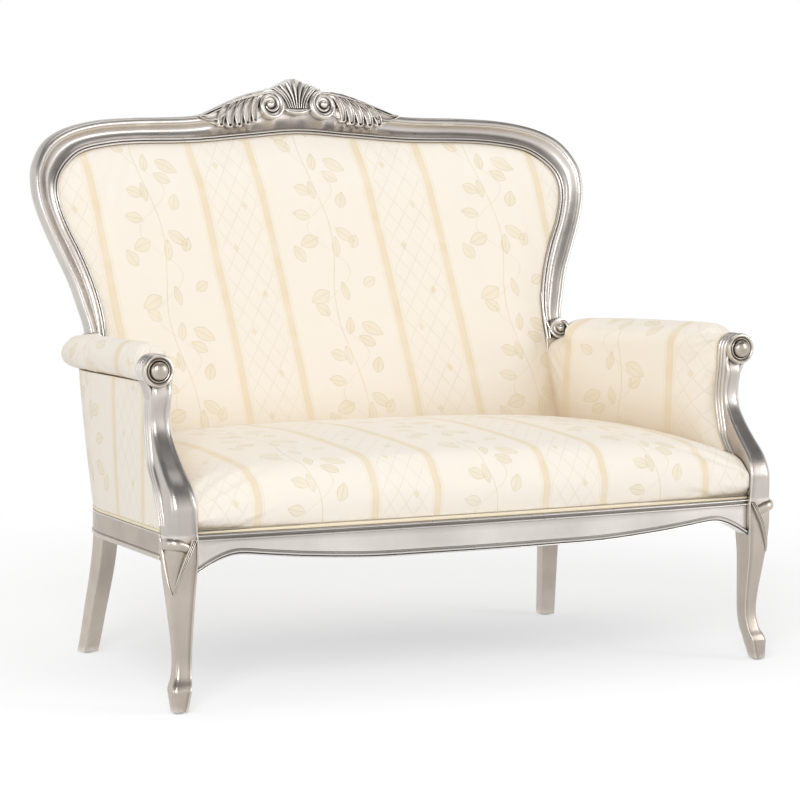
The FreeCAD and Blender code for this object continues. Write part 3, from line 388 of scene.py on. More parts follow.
def volute(side):
    """The moulding's inner bead, curled into a spiral over a disc, with a ball for its eye."""
    place = (side * volute_x, back_y(volute_x, volute_z) - 0.0062, volute_z)
    disc = turned([(0.036, volute_radius - 0.002), (0.004, volute_radius - 0.0005),
                   (0.0008, volute_radius - 0.0012), (0.0, volute_radius - 0.003), (0.0009, 0.001)], place)
    angles = math.radians(192) + np.linspace(0, 2 * math.pi * volute_turns, 80)
    reach = volute_radius - 0.0018 - (volute_radius - 0.0125) * np.linspace(0, 1, 80) ** 0.9
    spiral = np.stack([volute_x + reach * np.cos(angles), volute_z + reach * np.sin(angles)], axis=1)
    lead = [(0.4806, 0.668), (0.4794, 0.645), (0.4802, 0.622), (0.4836, 0.606), spiral[0]]
    flat = np.concatenate([smoothed(lead, 24, end=3.9), spiral])
    numbers = np.arange(len(flat))
    depths = np.interp(numbers, [0, 12, 30, len(flat) - 1], [0.0, -0.001, -0.0066, -0.0068])
    path = [(side * x, back_y(x, z) + depth, z) for (x, z), depth in zip(flat, depths)]
    ridge = tube(path, np.interp(numbers, [0, 24, 50, len(flat) - 1], [0.0016, 0.0032, 0.0040, 0.0025]))
    ball = turned([(0.003, 0.0070), (-0.001, 0.0078), (-0.0050, 0.0064), (-0.0078, 0.0036),
                   (-0.0088, 0.0004)], place, 28)
    return joined(disc, ridge, ball)


build("back_frame", joined(moulding(), volute(1), volute(-1)), frame_leaf,
      ["crest_rail", "back_stile_right", "back_stile_left"])


# The crest carving: a fluted shell between two volutes, each with a frond of hollowed petals that
# runs out to a point. It is carved from the solid, glued over the crest rail, and leafed with it.

def bend(start, middle, end, count):
    """Places on a curve from start to end that passes near its middle point."""
    t = np.linspace(0, 1, count)[:, None]
    start, middle, end = [np.asarray(p, float) for p in (start, middle, end)]
    return (1 - t) ** 2 * start + 2 * t * (1 - t) * middle + t ** 2 * end


def on_back(x, z, height):
    return np.array((x, back_y(x, z) - height, z))


def spread(values, count):
    """A list of values brought to a count by straight runs between them."""
    return np.interp(np.linspace(0, 1, count), np.linspace(0, 1, len(values)), values)


def sideways(line):
    """The unit direction across a flat line at each of its points."""
    ahead = headings(line)
    return np.stack([-ahead[:, 1], ahead[:, 0]], axis=1)


def petal(surface, line, halves, rises, base, hollow=0.0, sink=0.004):
    """One carved petal along a line on a surface, rounded or hollowed across."""
    across = np.sin(np.linspace(-math.pi / 2, math.pi / 2, 17))
    lift = np.sqrt(np.maximum(0, 1 - across ** 2))
    if hollow:
        rim_lift = np.exp(-((np.abs(across) - 0.76) / 0.17) ** 2)
        lift = (1 - hollow) * lift + hollow * rim_lift
    count = len(line)
    rings = []
    rows = zip(line, sideways(line), spread(halves, count), spread(rises, count))
    for (a, b), (side_a, side_b), half, rise in rows:
        section = [(-1, -sink)] + list(zip(across, rise * lift)) + [(1, -sink)]
        rings.append([surface(a + side_a * half * share, b + side_b * half * share, base + up)
                      for share, up in section])
    return skinned(rings)


def plate(outline, front, rear):
    """A thick plate behind the carving, with its outline given as x and z."""
    return skinned([[on_back(x, z, height) for x, z in outline] for height in (front, -rear)])


flute_halves = [0.0017, 0.0019, 0.0023, 0.0030, 0.0038, 0.0047, 0.0050, 0.0034]
flute_rises = [0.0060, 0.0070, 0.0076, 0.0080, 0.0080, 0.0076, 0.0062]
lip_halves = [0.0008, 0.0046, 0.0060, 0.0064, 0.0060, 0.0046, 0.0008]
lip_rises = [0.003, 0.007, 0.0088, 0.009, 0.0088, 0.007, 0.003]
shell_top = 1.1010
shell_fan = 1.45
shells = []
for fan in np.linspace(-1, 1, 9):
    tip_x = 0.0470 * math.sin(fan * shell_fan) / math.sin(shell_fan)
    flute = bend((0.0175 * fan, 1.0425), (0.0245 * fan, 1.0700), (tip_x, shell_top - 0.385 * abs(tip_x)), 22)
    shells.append(petal(on_back, flute, flute_halves, flute_rises, 0.0040))
lip = bend((-0.0310, 1.0415), (0, 1.0280), (0.0310, 1.0415), 25)
shells.append(petal(on_back, lip, lip_halves, lip_rises, 0.0065, sink=0.012))
gable = smoothed([(0.0, shell_top), (0.008, 1.0995), (0.020, 1.0940), (0.034, 1.0878), (0.048, 1.0815),
                  (0.058, 1.0785), (0.050, 1.050), (0.030, 1.034), (0.0, 1.0265)], 49)
shells.append(plate(np.concatenate([gable, gable[-2:0:-1] * (-1, 1)]), 0.0045, 0.016))
build("shell_carving", joined(*shells), carving_lit_leaf, ["crest_shell"], sharp=50)

leaf_end = [0.35, 0.60, 0.82, 0.96, 1.0, 1.0, 0.95, 0.70]
frond_petals = [
    ((0.0740, 1.0722), (0.1015, 1.0580), (0.0975, 1.0200), 0.0066),
    ((0.0800, 1.0725), (0.1195, 1.0590), (0.1150, 1.0155), 0.0078),
    ((0.0900, 1.0705), (0.1380, 1.0560), (0.1340, 1.0125), 0.0084),
    ((0.1020, 1.0665), (0.1570, 1.0500), (0.1540, 1.0110), 0.0084),
    ((0.1170, 1.0610), (0.1765, 1.0420), (0.1745, 1.0118), 0.0076),
    ((0.1380, 1.0530), (0.1890, 1.0150), (0.2165, 1.0262), 0.0092),
]
frond_edge = [(0.058, 1.0785), (0.070, 1.0778), (0.084, 1.0740), (0.109, 1.0635), (0.143, 1.0485), (0.183, 1.0335),
              (0.2185, 1.0258), (0.200, 1.0150), (0.186, 1.0100), (0.170, 1.0085), (0.152, 1.0085), (0.134, 1.0105),
              (0.114, 1.0135), (0.098, 1.0185), (0.080, 1.0275), (0.058, 1.034)]
loop_halves = [0.0009, 0.0017, 0.0019, 0.0021, 0.0021, 0.0019, 0.0016, 0.0008]
loop_rises = [0.003, 0.0052, 0.0058, 0.0060, 0.0058, 0.0052, 0.003]
petal_base = 0.0080
petal_sink = 0.014
curl_z = 1.0495
for name, side in both_sides:
    carving = []
    for number, (start, middle, end, half) in enumerate(frond_petals):
        run = bend(start, middle, end, 26)
        halves = spread(leaf_end, 26) * half
        if number == len(frond_petals) - 1:
            halves *= np.interp(np.linspace(0, 1, 26), [0, 0.45, 1], [1, 1, 0.25])
        carving.append(petal(on_back, run * (side, 1), halves, [0.003], petal_base, hollow=0.85, sink=petal_sink))
        ahead = headings(run)
        aside = sideways(run) * (halves * 0.88)[:, None]
        tip = [run[-1] + aside[-1] * math.cos(a) + ahead[-1] * halves[-1] * math.sin(a)
               for a in np.linspace(0.35, 2.8, 7)]
        loop = smoothed(np.concatenate([(run + aside)[3:], tip, (run - aside)[:3:-1]]), 90) * (side, 1)
        carving.append(petal(on_back, loop, loop_halves, loop_rises, petal_base, sink=petal_sink))
    turns = np.linspace(0, 1, 110)
    angles = 1.45 + turns * 2 * math.pi * 1.72
    reach = 0.0262 - 0.0166 * turns ** 1.35
    curl_x = 0.0600 - 0.0025 * np.sin(turns * math.pi)
    spiral = np.stack([curl_x + reach * np.cos(angles), curl_z + reach * np.sin(angles)], axis=1)
    rim = bend((0.214, 1.0275), (0.128, 1.0640), (0.0680, 1.0725), 40)
    sweep = np.concatenate([rim, spiral[4:]]) * (side, 1)
    widths = np.concatenate([np.linspace(0.0010, 0.0042, 40),
                             np.interp(np.linspace(0, 1, 106), [0, 0.14, 0.3, 0.5, 1],
                                       [0.0046, 0.0078, 0.0068, 0.0048, 0.0030])])
    rises = np.interp(np.linspace(0, 1, 20), [0, 0.3, 0.5, 0.8, 1], [0.003, 0.0092, 0.0104, 0.0088, 0.0062])
    carving.append(petal(on_back, sweep, widths, rises, 0.0066, sink=0.012))
    curl_face = back_y(0.060, curl_z)
    eye = turned([(-0.002, 0.0080), (-0.0100, 0.0084), (-0.0132, 0.0072), (-0.0158, 0.0046), (-0.0170, 0.0018),
                  (-0.0172, 0.0003)], (side * 0.0590, curl_face, curl_z), 28)
    disc = turned([(0.014, 0.0290), (-0.0064, 0.0290), (-0.0066, 0.001)], (side * 0.0595, curl_face, curl_z))
    carving += [eye, disc, plate([(side * x, z) for x, z in frond_edge], 0.0042, 0.014)]
    build("frond_carving_" + name, joined(*carving), carving_lit_leaf, ["crest_spray_" + name], sharp=50)


# The front legs: cabriole legs in hardwood with a square block at the top, where the rails are
# dowelled in. A fine bead runs down the inner edge, and a facet cuts the foot in to its glide.

leg_x = 0.588
leg_y = -0.3875
leg_width = 0.052
block_foot = 0.262
glide_height = 0.003
leg_shift = 0.010
leg_rows = [(0.137, 0.35, 0.52, 0.67), (0.165, 0.20, 0.30, 0.655), (0.23, -0.35, -0.40, 0.58),
            (0.34, -0.65, -0.85, 0.555), (0.49, -0.55, -0.72, 0.62), (0.645, -0.30, -0.40, 0.73),
            (0.78, -0.10, -0.15, 0.83), (0.90, 0.0, -0.08, 0.93), (1.0, 0.0, 0.0, 1.0)]
fine_leg = smoothed(leg_rows, 161)


def read_rows(rows, place):
    """The values of a table's later columns at a place in its first column."""
    return [np.interp(place, rows[:, 0], column) for column in rows.T[1:]]


def leg_section(z):
    """Middle, half width and corner radius of the right front leg at a height."""
    share = (z - glide_height) / (block_foot - glide_height)
    foot_share = leg_rows[0][0]
    if share >= 1:
        shift_x, shift_y, width = 0, 0, 1
    elif share <= foot_share:
        part = share / foot_share
        shift_x, shift_y, width = 0.60 - 0.25 * part, 0.95 - 0.43 * part, 0.47 + 0.20 * part
    else:
        shift_x, shift_y, width = read_rows(fine_leg, share)
    half = leg_width / 2 * width
    return leg_x + shift_x * leg_shift, leg_y - shift_y * leg_shift, half, half * 0.56


def carved_ring(middle, half_x, half_y, corner, bead, side):
    """A square timber's outline: beaded inner front edge, round outer front corner."""
    ring = arc_points((bead - half_x, bead * 0.3 - half_y), (bead, bead), 180, 330, 7)
    for share in (0.0, 0.3, 0.6, 0.85):
        ring.append(((1 - share) * (2.5 * bead - half_x) + share * (half_x - corner),
                     0.0011 * (1 - share) ** 1.5 - half_y))
    ring += arc_points((half_x - corner, corner - half_y), (corner, corner), 270, 360, 13)
    ring += [(half_x - 0.0005, half_y * 0.1), (half_x - 0.0012, half_y * 0.6)]
    ring += arc_points((half_x - 0.0062, half_y - 0.005), (0.005, 0.005), 0, 90, 5)
    ring += [(0, half_y)]
    ring += arc_points((0.003 - half_x, half_y - 0.003), (0.003, 0.003), 90, 170, 3)
    ring += [(-half_x, half_y * 0.3), (-half_x, -half_y * 0.5)]
    x, y, z = middle
    return [(side * (x + u), y + v, z) for u, v in ring]


leg_heights = np.concatenate([[0.003, 0.0036], np.linspace(0.012, 0.0376, 6), [0.0384, 0.0392, 0.0402, 0.042],
                              np.linspace(0.046, block_foot, 60), [0.275, 0.29, 0.308]])
for name, side in both_sides:
    rings = []
    for z in leg_heights:
        x, y, half, corner = leg_section(z)
        trim = 0.0012 if z < 0.0035 else 0.0
        rings.append(carved_ring((x, y, z), half - trim, half - trim, corner, 0.0017, side))
    build("leg_" + name, skinned(rings), leg_shaded_leaf, ["front_leg_" + name])


# The knees: a rounded band over each leg's outer front corner and two long leaves, one of them
# reeded, that cross it and meet in a point. All are carved on the leg.

def on_knee(side):
    def surface(run, z, height):
        """Run is measured along the leg's face from its outer front corner, onto the flank below 0."""
        x, y, half, corner = leg_section(z)
        quarter = corner * math.pi / 4
        if run > quarter:
            u, v = half - corner - (run - quarter), -half - height
        elif run < -quarter:
            u, v = half + height, corner - half - (run + quarter)
        else:
            turn = math.radians(45) * (run / quarter) + math.radians(45)
            u = half - corner + (corner + height) * math.cos(turn)
            v = corner - half - (corner + height) * math.sin(turn)
        return np.array((side * (x + u), y + v, z))
    return surface


band_halves = [0.0074, 0.0092, 0.0102, 0.0102, 0.0100, 0.0090, 0.0074]
band_rises = [0.0036, 0.0060, 0.0072, 0.0076, 0.0072, 0.0060, 0.0040]
for name, side in both_sides:
    knee = on_knee(side)
    band = bend((-0.036, 0.2875), (0.0, 0.3035), (0.034, 0.2835), 30)
    leaves = [petal(knee, band, band_halves, band_rises, 0.0)]
    for offset, half in ((-0.0036, 0.0021), (0.0, 0.0023), (0.0036, 0.0021)):
        reed = bend((0.0415 + offset, 0.3015), (0.0195 + offset * 0.9, 0.262), (0.0012 + offset * 0.3, 0.2065), 34)
        leaves.append(petal(knee, reed, [half * 0.5, half, half, half * 0.9, half * 0.7, half * 0.35],
                            [0.0045, 0.0068, 0.0070, 0.0060, 0.0045, 0.0022], 0.0))
    leaf = bend((-0.0400, 0.3005), (-0.0245, 0.250), (-0.0015, 0.2055), 34)
    leaves.append(petal(knee, leaf, [0.0020, 0.0050, 0.0052, 0.0046, 0.0034, 0.0012],
                        [0.0030, 0.0046, 0.0048, 0.0042, 0.0034, 0.0022], 0.0, hollow=0.25))
    build("knee_carving_" + name, joined(*leaves), leg_shaded_leaf, ["knee_leaf_" + name], sharp=50)


# The arm posts: S-curved supports, dowelled onto the legs, with a soft ridge down the front corner
# and a fine bead on the inner edge. Three reeds run up the inner face, over the barrel of the turned
# scroll and down the outer face.

post_rows = [
    (0.00, 0.00, 0.00, 1.00), (0.12, -0.02, 0.22, 0.96), (0.20, 0.02, 0.42, 0.92), (0.305, 0.31, 0.72, 0.87),
    (0.42, 0.94, 1.20, 0.80), (0.535, 1.50, 1.44, 0.74), (0.655, 1.90, 1.63, 0.69), (0.775, 1.96, 1.79, 0.67),
    (0.92, 1.67, 1.87, 0.72), (1.00, 1.50, 1.87, 0.78),
]
rail_top = 0.308
post_rise = 0.264
fine_post = smoothed(post_rows, 181)
scroll_x = 0.597
scroll_z = 0.585
scroll_heel = -0.2875
reed_sink = 0.0012


def share_of(value, start, length):
    """How far a value is along a length, from 0 to 1."""
    return np.clip((value - start) / length, 0, 1)


def eased(share):
    """A share from 0 to 1 with a soft start and end."""
    return share ** 2 * (3 - 2 * share)


def post_section(z):
    """Front face, rear face and half width of a post at a height."""
    front, rear, width = read_rows(fine_post, share_of(z, rail_top, post_rise))
    return leg_y + leg_width * (front - 0.5), leg_y + leg_width * (rear + 0.5), 0.025 * width


def post_heel(z):
    """Where a post ends and the cover begins: it sweeps forward to run over the scroll's barrel."""
    rear = post_section(min(z, rail_top + post_rise))[1]
    return rear + (scroll_heel - rear) * eased(share_of(z, 0.455, 0.115))


def reed_path(set_back, reach, side):
    """A run up a post's inner face, over the barrel of its scroll and down its outer face."""
    inner = [(leg_x - post_section(z)[2] + reed_sink, post_heel(z) - set_back, z)
             for z in np.linspace(0.322, 0.558, 34)]
    over = [(x, scroll_heel - set_back, z) for x, z in arc_points((scroll_x, scroll_z), (reach, reach), 172, -42, 26)]
    outer = [(leg_x + post_section(z)[2] - reed_sink, post_heel(z) - set_back, z)
             for z in np.linspace(0.540, 0.322, 34)]
    return smoothed(inner + over + outer, 150) * (side, 1, 1)


scroll_size = 1.08
scroll_profile = [
    (0.0425, 0.0230), (0.0134, 0.0240), (0.0128, 0.0256),
    (0.0110, 0.0266), (0.0070, 0.0271), (0.0030, 0.0266), (0.0006, 0.0250), (0.0000, 0.0232), (0.0008, 0.0216),
    (0.0024, 0.0206), (0.0034, 0.0199), (0.0022, 0.0192), (0.0012, 0.0182), (0.0018, 0.0170), (0.0040, 0.0161),
    (0.0056, 0.0152), (0.0040, 0.0149), (0.0010, 0.0150), (-0.0022, 0.0142), (-0.0050, 0.0124), (-0.0070, 0.0096),
    (-0.0083, 0.0060), (-0.0089, 0.0024), (-0.0090, 0.0002),
]
post_heights = np.linspace(0.3065, 0.584, 96)
for name, side in both_sides:
    rings = []
    for z in post_heights:
        front, rear, half = post_section(z)
        front += (-0.3170 - front) * eased(share_of(z, 0.526, 0.034))
        inner = leg_x - half + 0.008 * share_of(z, 0.558, 0.024) ** 1.5
        outer = leg_x + half
        heel = post_heel(z)
        corner = 0.014 - 0.0035 * share_of(z, 0.31, 0.1)
        bead = 0.0017 + 0.0017 * share_of(z, 0.31, 0.06)
        rings.append(carved_ring(((inner + outer) / 2, (front + heel) / 2, z), (outer - inner) / 2,
                                 (heel - front) / 2, corner, bead, side))
    girth = np.interp(np.linspace(0, 1, 150), [0, 0.08, 0.92, 1], [0.0014, 0.0043, 0.0043, 0.0014])
    reeds = [tube(reed_path(set_back, 0.0249, side), girth) for set_back in (0.0052, 0.0150, 0.0248)]
    build("post_" + name, joined(skinned(rings), *reeds), frame_leaf, ["arm_post_" + name])
    scroll = turned([(depth, scroll_size * radius) for depth, radius in scroll_profile],
                    (side * scroll_x, -0.330, scroll_z), 72)
    build("scroll_" + name, scroll, shaded_copy_leaf, ["arm_scroll_" + name])


# The front rail: a shaped apron with a bead and a groove under the cover, a flat field and a lip
# that follows its lower edge. It is bowed forward and dowelled between the front legs.

front_half = 0.562
apron_drop = 0.068
apron_rows = [(0.0, 0.87), (0.21, 0.865), (0.42, 0.85), (0.62, 0.75), (0.75, 0.65), (0.85, 0.565), (0.90, 0.61),
              (0.95, 0.77), (1.0, 1.0)]
fine_apron = smoothed(both_halves(apron_rows, (-1, 1)), 161)


def front_face(x):
    """The bowed plan of the front rail's face."""
    return -0.4225 + 0.017 * (x / front_half) ** 2


rings = []
for share in np.linspace(-1, 1, 161):
    x = share * front_half
    low = rail_top - apron_drop * read_rows(fine_apron, share)[0]
    section = [(0.026, low), (0.026, rail_top), (0.0012, rail_top)]
    section += arc_points((0.0004, rail_top - 0.0021), (0.0030, 0.0021), 90, 270, 7)
    section += [(0.0022, rail_top - 0.0046), (0.0024, rail_top - 0.0062), (0.0016, rail_top - 0.0076)]
    section += arc_points((0.0006, rail_top - 0.0098), (0.0034, 0.0022), 90, 270, 7)
    section += [(0.0012, rail_top - 0.0128), (0.0010, (rail_top + low) / 2), (0.0012, low + 0.0112)]
    section += [(0.0022, low + 0.0100), (0.0018, low + 0.0088)]
    section += arc_points((0.0006, low + 0.0064), (0.0036, 0.0024), 90, 260, 7)
    section += [(0.0022, low + 0.0034), (0.0002, low + 0.0022), (-0.0004, low + 0.0008), (0.0008, low)]
    rings.append([(x, front_face(x) + depth, z) for depth, z in section])
build("front_apron", skinned(rings), rail_lit_leaf, ["front_rail"])


# The side rails, the rear rail and the rear legs: plain timbers under the same leaf, the side rails
# bent in plan with a low moulding along their foot, the rear legs splayed like sabres.

def carry(node, material):
    """The frame's own solid keeps its shape and takes a finish."""
    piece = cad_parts[node]
    piece.data.materials.clear()
    piece.data.materials.append(material)


def side_point(rise, offset, share):
    """Plan of the right side at a share of its length, and the way to there along it.

    It is a straight run, a bend and a straight tail; rise goes from 0 at its foot to 1 at the arm."""
    first = math.radians(2.7 * (1 - rise))
    last = math.radians(27)
    start_x = 0.613 - 0.009 * rise
    start_y = leg_y + leg_width / 2
    run = 0.304 + 0.057 * rise
    radius = 0.300 - 0.100 * rise
    tail = 0.140 + 0.018 * rise
    bow = radius * (last - first)
    way = share * (run + bow + tail)
    turn = first + min(max(0.0, way - run), bow) / radius
    before = min(way, run)
    beyond = max(0.0, way - run - bow)
    x = start_x - before * math.sin(first) + radius * (math.cos(turn) - math.cos(first)) - beyond * math.sin(last)
    y = start_y + before * math.cos(first) + radius * (math.sin(turn) - math.sin(first)) + beyond * math.cos(last)
    return x + offset * math.cos(turn), y + offset * math.sin(turn), way


rail_section = [(-0.026, 0.262), (-0.026, 0.308), (-0.0008, 0.308), (0.0, 0.3072), (0.0, 0.3045),
                (0.0, 0.3000), (0.0, 0.2905), (0.0, 0.2815), (0.0, 0.2765), (0.0, 0.2735), (-0.0009, 0.2722),
                (-0.0009, 0.2712), (0.0008, 0.2702), (0.0019, 0.2688), (0.0022, 0.2665), (0.0018, 0.2642),
                (0.0004, 0.2624), (-0.0012, 0.262)]
for name, side in both_sides:
    rings = []
    for share in np.linspace(-0.01, 1.0, 70):
        places = [(*side_point(0, offset, share)[:2], z) for offset, z in rail_section]
        rings.append([(side * x, y, z) for x, y, z in places])
    build("side_apron_" + name, skinned(rings), shaded_copy_leaf, ["side_rail_" + name])
    carry("rear_leg_" + name, leg_shaded_leaf)
carry("rear_rail", frame_leaf)


# The cover: one cream damask throughout, woven with soft yellow stripes, a diamond trellis between
# one pair of stripes and a leafy vine between the next. It is cut so that the stripes run upright.

blade_edge = 900.0


def leaf_motif():
    """A pointed leaf that grows from its place; gives its filled blade and its outline."""
    group = bpy.data.node_groups.new("leaf_motif", "ShaderNodeTree")
    for name, kind in (("Cloth", "NodeSocketVector"), ("Place", "NodeSocketVector"), ("Turn", "NodeSocketFloat"),
                       ("Length", "NodeSocketFloat"), ("Width", "NodeSocketFloat")):
        group.interface.new_socket(name, in_out="INPUT", socket_type=kind)
    for name in ("Blade", "Line"):
        group.interface.new_socket(name, in_out="OUTPUT", socket_type="NodeSocketFloat")
    start = group.nodes.new("NodeGroupInput").outputs

    def do(operation, *values, clamp=False):
        return maths(group, operation, *values, clamp=clamp)

    away = add_node(group, "ShaderNodeVectorMath", {0: start["Cloth"], 1: start["Place"]}, operation="SUBTRACT")
    turned_cloth = add_node(group, "ShaderNodeVectorRotate", {"Vector": away.outputs[0], "Angle": start["Turn"]},
                            rotation_type="Z_AXIS")
    parts = add_node(group, "ShaderNodeSeparateXYZ", {0: turned_cloth.outputs[0]}).outputs
    along = do("DIVIDE", parts["X"], start["Length"], clamp=True)
    swell = do("MULTIPLY", do("MULTIPLY", along, do("SUBTRACT", 1.0, along)), 4.0)
    swell = do("MULTIPLY", swell, do("MULTIPLY_ADD", along, -0.45, 1.22))
    half = do("MULTIPLY", swell, start["Width"])
    off = do("ABSOLUTE", parts["Y"])
    inside = do("SUBTRACT", half, off)
    blade = do("MULTIPLY", inside, blade_edge, clamp=True)
    edge = do("MULTIPLY_ADD", do("ABSOLUTE", inside), -blade_edge, 1.0, clamp=True)
    edge = do("MULTIPLY", edge, do("MULTIPLY", half, blade_edge, clamp=True))
    rib = do("MULTIPLY", do("MULTIPLY_ADD", off, -1100.0, 1.0, clamp=True), blade)
    line = do("MAXIMUM", edge, do("MULTIPLY", rib, 0.8))
    end = group.nodes.new("NodeGroupOutput")
    group.links.new(blade, end.inputs["Blade"])
    group.links.new(line, end.inputs["Line"])
    return group


leaf_group = leaf_motif()
vine_leaves = [
    (-0.050, 0.022, 118, 0.034, 0.0095), (0.012, 0.030, 82, 0.040, 0.0070), (0.046, 0.048, 62, 0.028, 0.0080),
    (-0.016, 0.070, 202, 0.040, 0.0105), (0.022, 0.088, -38, 0.042, 0.0095), (-0.022, 0.112, 168, 0.034, 0.0085),
    (0.040, 0.128, 70, 0.032, 0.0090), (-0.006, 0.146, 96, 0.036, 0.0062), (-0.040, 0.172, -22, 0.034, 0.0090),
    (0.048, 0.184, 150, 0.034, 0.0085), (0.004, 0.206, 78, 0.034, 0.0066), (0.030, 0.228, -30, 0.044, 0.0105),
    (-0.026, 0.246, 140, 0.032, 0.0090), (0.016, 0.274, 98, 0.036, 0.0062), (-0.018, 0.292, 206, 0.044, 0.0110),
    (0.052, 0.302, 30, 0.030, 0.0080),
]
vine_rise = 0.330
cloth_period = 0.363
vine_band = 0.234
band_start = 0.0195
stripe_half = 0.0082


def damask(name, base):
    """The woven cover, drawn from the cloth's own flat coordinates in metres."""
    material = bpy.data.materials.new(name)
    tree = node_tree(material)

    def do(operation, *values, clamp=False):
        return maths(tree, operation, *values, clamp=clamp)

    def within(distance, half, edge):
        """1 where a distance is less than its half width, with an edge as steep as given."""
        return do("MULTIPLY", do("SUBTRACT", half, distance), edge, clamp=True)

    def gap(first, second):
        return do("ABSOLUTE", do("SUBTRACT", first, second))

    cloth = add_node(tree, "ShaderNodeUVMap", uv_map="cloth").outputs[0]
    flat = add_node(tree, "ShaderNodeSeparateXYZ", {0: cloth}).outputs
    across = do("MULTIPLY_ADD", clouded(tree, cloth, 7.0, 1.0), 0.006, flat["X"])
    across = do("MODULO", do("ADD", across, 4 * cloth_period + 0.0165), cloth_period)
    upward = do("MODULO", do("ADD", flat["Y"], 6 * vine_rise), vine_rise)
    from_band = do("SUBTRACT", across, band_start + vine_band / 2)
    middle = do("ABSOLUTE", from_band)
    from_stripe = gap(middle, vine_band / 2)
    cord = within(gap(from_stripe, 0.0112), 0.0011, 1200.0)
    stripe = do("MAXIMUM", within(from_stripe, stripe_half, 900.0), do("MULTIPLY", cord, 0.8))

    spot = add_node(tree, "ShaderNodeCombineXYZ", {0: from_band, 1: upward}).outputs[0]
    blades = 0.0
    lines = 0.0
    for u, v, turn, length, width in vine_leaves:
        for repeat in ((v, v - vine_rise) if v + length > vine_rise else (v,)):
            leaf = add_node(tree, "ShaderNodeGroup", {
                "Cloth": spot, "Place": (1.12 * u, repeat, 0), "Turn": -math.radians(turn),
                "Length": 1.08 * length, "Width": 1.18 * width}, node_tree=leaf_group)
            blades = do("MAXIMUM", leaf.outputs["Blade"], blades)
            lines = do("MAXIMUM", leaf.outputs["Line"], lines)
    for swing, waves, shift, weight in ((0.013, 1, 0.0, 1.0), (0.036, 2, 1.4, 0.7)):
        wave = do("SINE", do("MULTIPLY_ADD", upward, 2 * math.pi * waves / vine_rise, shift))
        from_stem = do("ABSOLUTE", do("MULTIPLY_ADD", wave, -swing, from_band))
        stem = do("MULTIPLY_ADD", from_stem, -950.0, 1.0, clamp=True)
        lines = do("MAXIMUM", lines, do("MULTIPLY", stem, weight))
    in_vine = do("LESS_THAN", middle, vine_band / 2 - 0.012)
    blades = do("MULTIPLY", blades, in_vine)
    lines = do("MULTIPLY", lines, in_vine)

    trellis = 0.0
    for slope in (7 / vine_rise, -7 / vine_rise):
        row = do("FRACT", do("MULTIPLY_ADD", upward, slope, do("MULTIPLY", across, 30.0)))
        thread = do("MULTIPLY", do("SUBTRACT", gap(row, 0.5), 0.452), 40.0, clamp=True)
        trellis = do("MAXIMUM", thread, trellis)
    trellis = do("MULTIPLY", trellis, do("GREATER_THAN", middle, vine_band / 2 + 0.014))
    sprigs = 0.0
    for u, v in ((0.300, 0.052), (0.338, 0.135), (0.298, 0.218), (0.340, 0.290)):
        wide = do("POWER", do("MULTIPLY", gap(across, u), 118.0), 0.75)
        tall = do("POWER", do("MULTIPLY", gap(upward, v), 84.0), 0.75)
        sprigs = do("MAXIMUM", sprigs, within(do("ADD", wide, tall), 1.0, 9.0))

    cloud = clouded(tree, cloth, 22.0, 3.0)
    fade = ranged(tree, cloud, 0.3, 0.7, 0.55)
    colour = mixed(tree, cloud, base, [c * 0.965 for c in base])
    for mask, weight, tone in ((stripe, 0.66, (0.79, 0.64, 0.38)), (blades, 0.46, (0.79, 0.69, 0.46)),
                               (sprigs, 0.55, (0.78, 0.64, 0.40)), (lines, 0.80, (0.62, 0.50, 0.27)),
                               (trellis, 0.30, (0.64, 0.57, 0.47))):
        colour = mixed(tree, do("MULTIPLY", do("MULTIPLY", mask, fade), weight), colour, tone)
    # Painted shade: the cloth turns a warm brown where nearby surfaces close it in.
    shut = add_node(tree, "ShaderNodeAmbientOcclusion", {"Distance": 0.15}, samples=8).outputs["AO"]
    shade = [c * t for c, t in zip(base, (0.76, 0.68, 0.56))]
    colour = mixed(tree, ranged(tree, shut, 0.82, 0.30, 0.0, 0.8), colour, shade)
    fine = add_node(tree, "ShaderNodeVectorMath", {0: cloth, 1: (1500.0, 1100.0, 1.0)}, operation="MULTIPLY")
    raised = do("MAXIMUM", blades, stripe)
    relief = do("MULTIPLY_ADD", raised, 0.6, clouded(tree, fine.outputs[0], 1.0))
    relief = do("MULTIPLY_ADD", clouded(tree, cloth, 16.0), 2.5, relief)
    rough = do("MULTIPLY_ADD", raised, -0.14, 0.74)
    return finished(material, colour, rough, relief, 0.25, 0.0006, {
        "Sheen Weight": 0.12, "Sheen Roughness": 0.5, "Specular IOR Level": 0.3})


cream_damask = damask("cream_damask", (0.925, 0.858, 0.758))


# The back: springs and stuffing behind a tight cover that is domed in the middle and rolls back to
# its tacks along the moulding. Its lower edge goes down behind the seat.

pad_foot = 0.322
inner_side = [(row[0] * back_half, stile_foot + row[1] * back_rise) for row in back_frame_rows]
shoulder = 5
top_places = smoothed(both_halves(inner_side[:shoulder + 1], (-1, 1)), 97)
pad_edge = 0.487
side_places = smoothed([(pad_edge, pad_foot), (pad_edge, 0.413), (pad_edge, 0.505)]
                       + inner_side[:shoulder - 1:-1], 81)


def patch(lower, upper, left, right):
    """A grid of x and z that fills the outline between four curves."""
    u = np.linspace(0, 1, len(upper))[None, :, None]
    v = np.linspace(0, 1, len(left))[:, None, None]
    flat = (1 - v) * lower[None] + v * upper[None] + (1 - u) * left[:, None] + u * right[:, None]
    corners = ((1 - u) * (1 - v) * lower[0] + u * (1 - v) * lower[-1] + (1 - u) * v * upper[0] + u * v * upper[-1])
    return flat - corners


def rim_distance(grid, rim):
    """How far each place of a grid is from the nearest point of a rim."""
    gap = grid.reshape(-1, 1, 2) - rim.reshape(1, -1, 2)
    return np.sqrt((gap ** 2).sum(axis=2)).min(axis=1).reshape(grid.shape[:2])


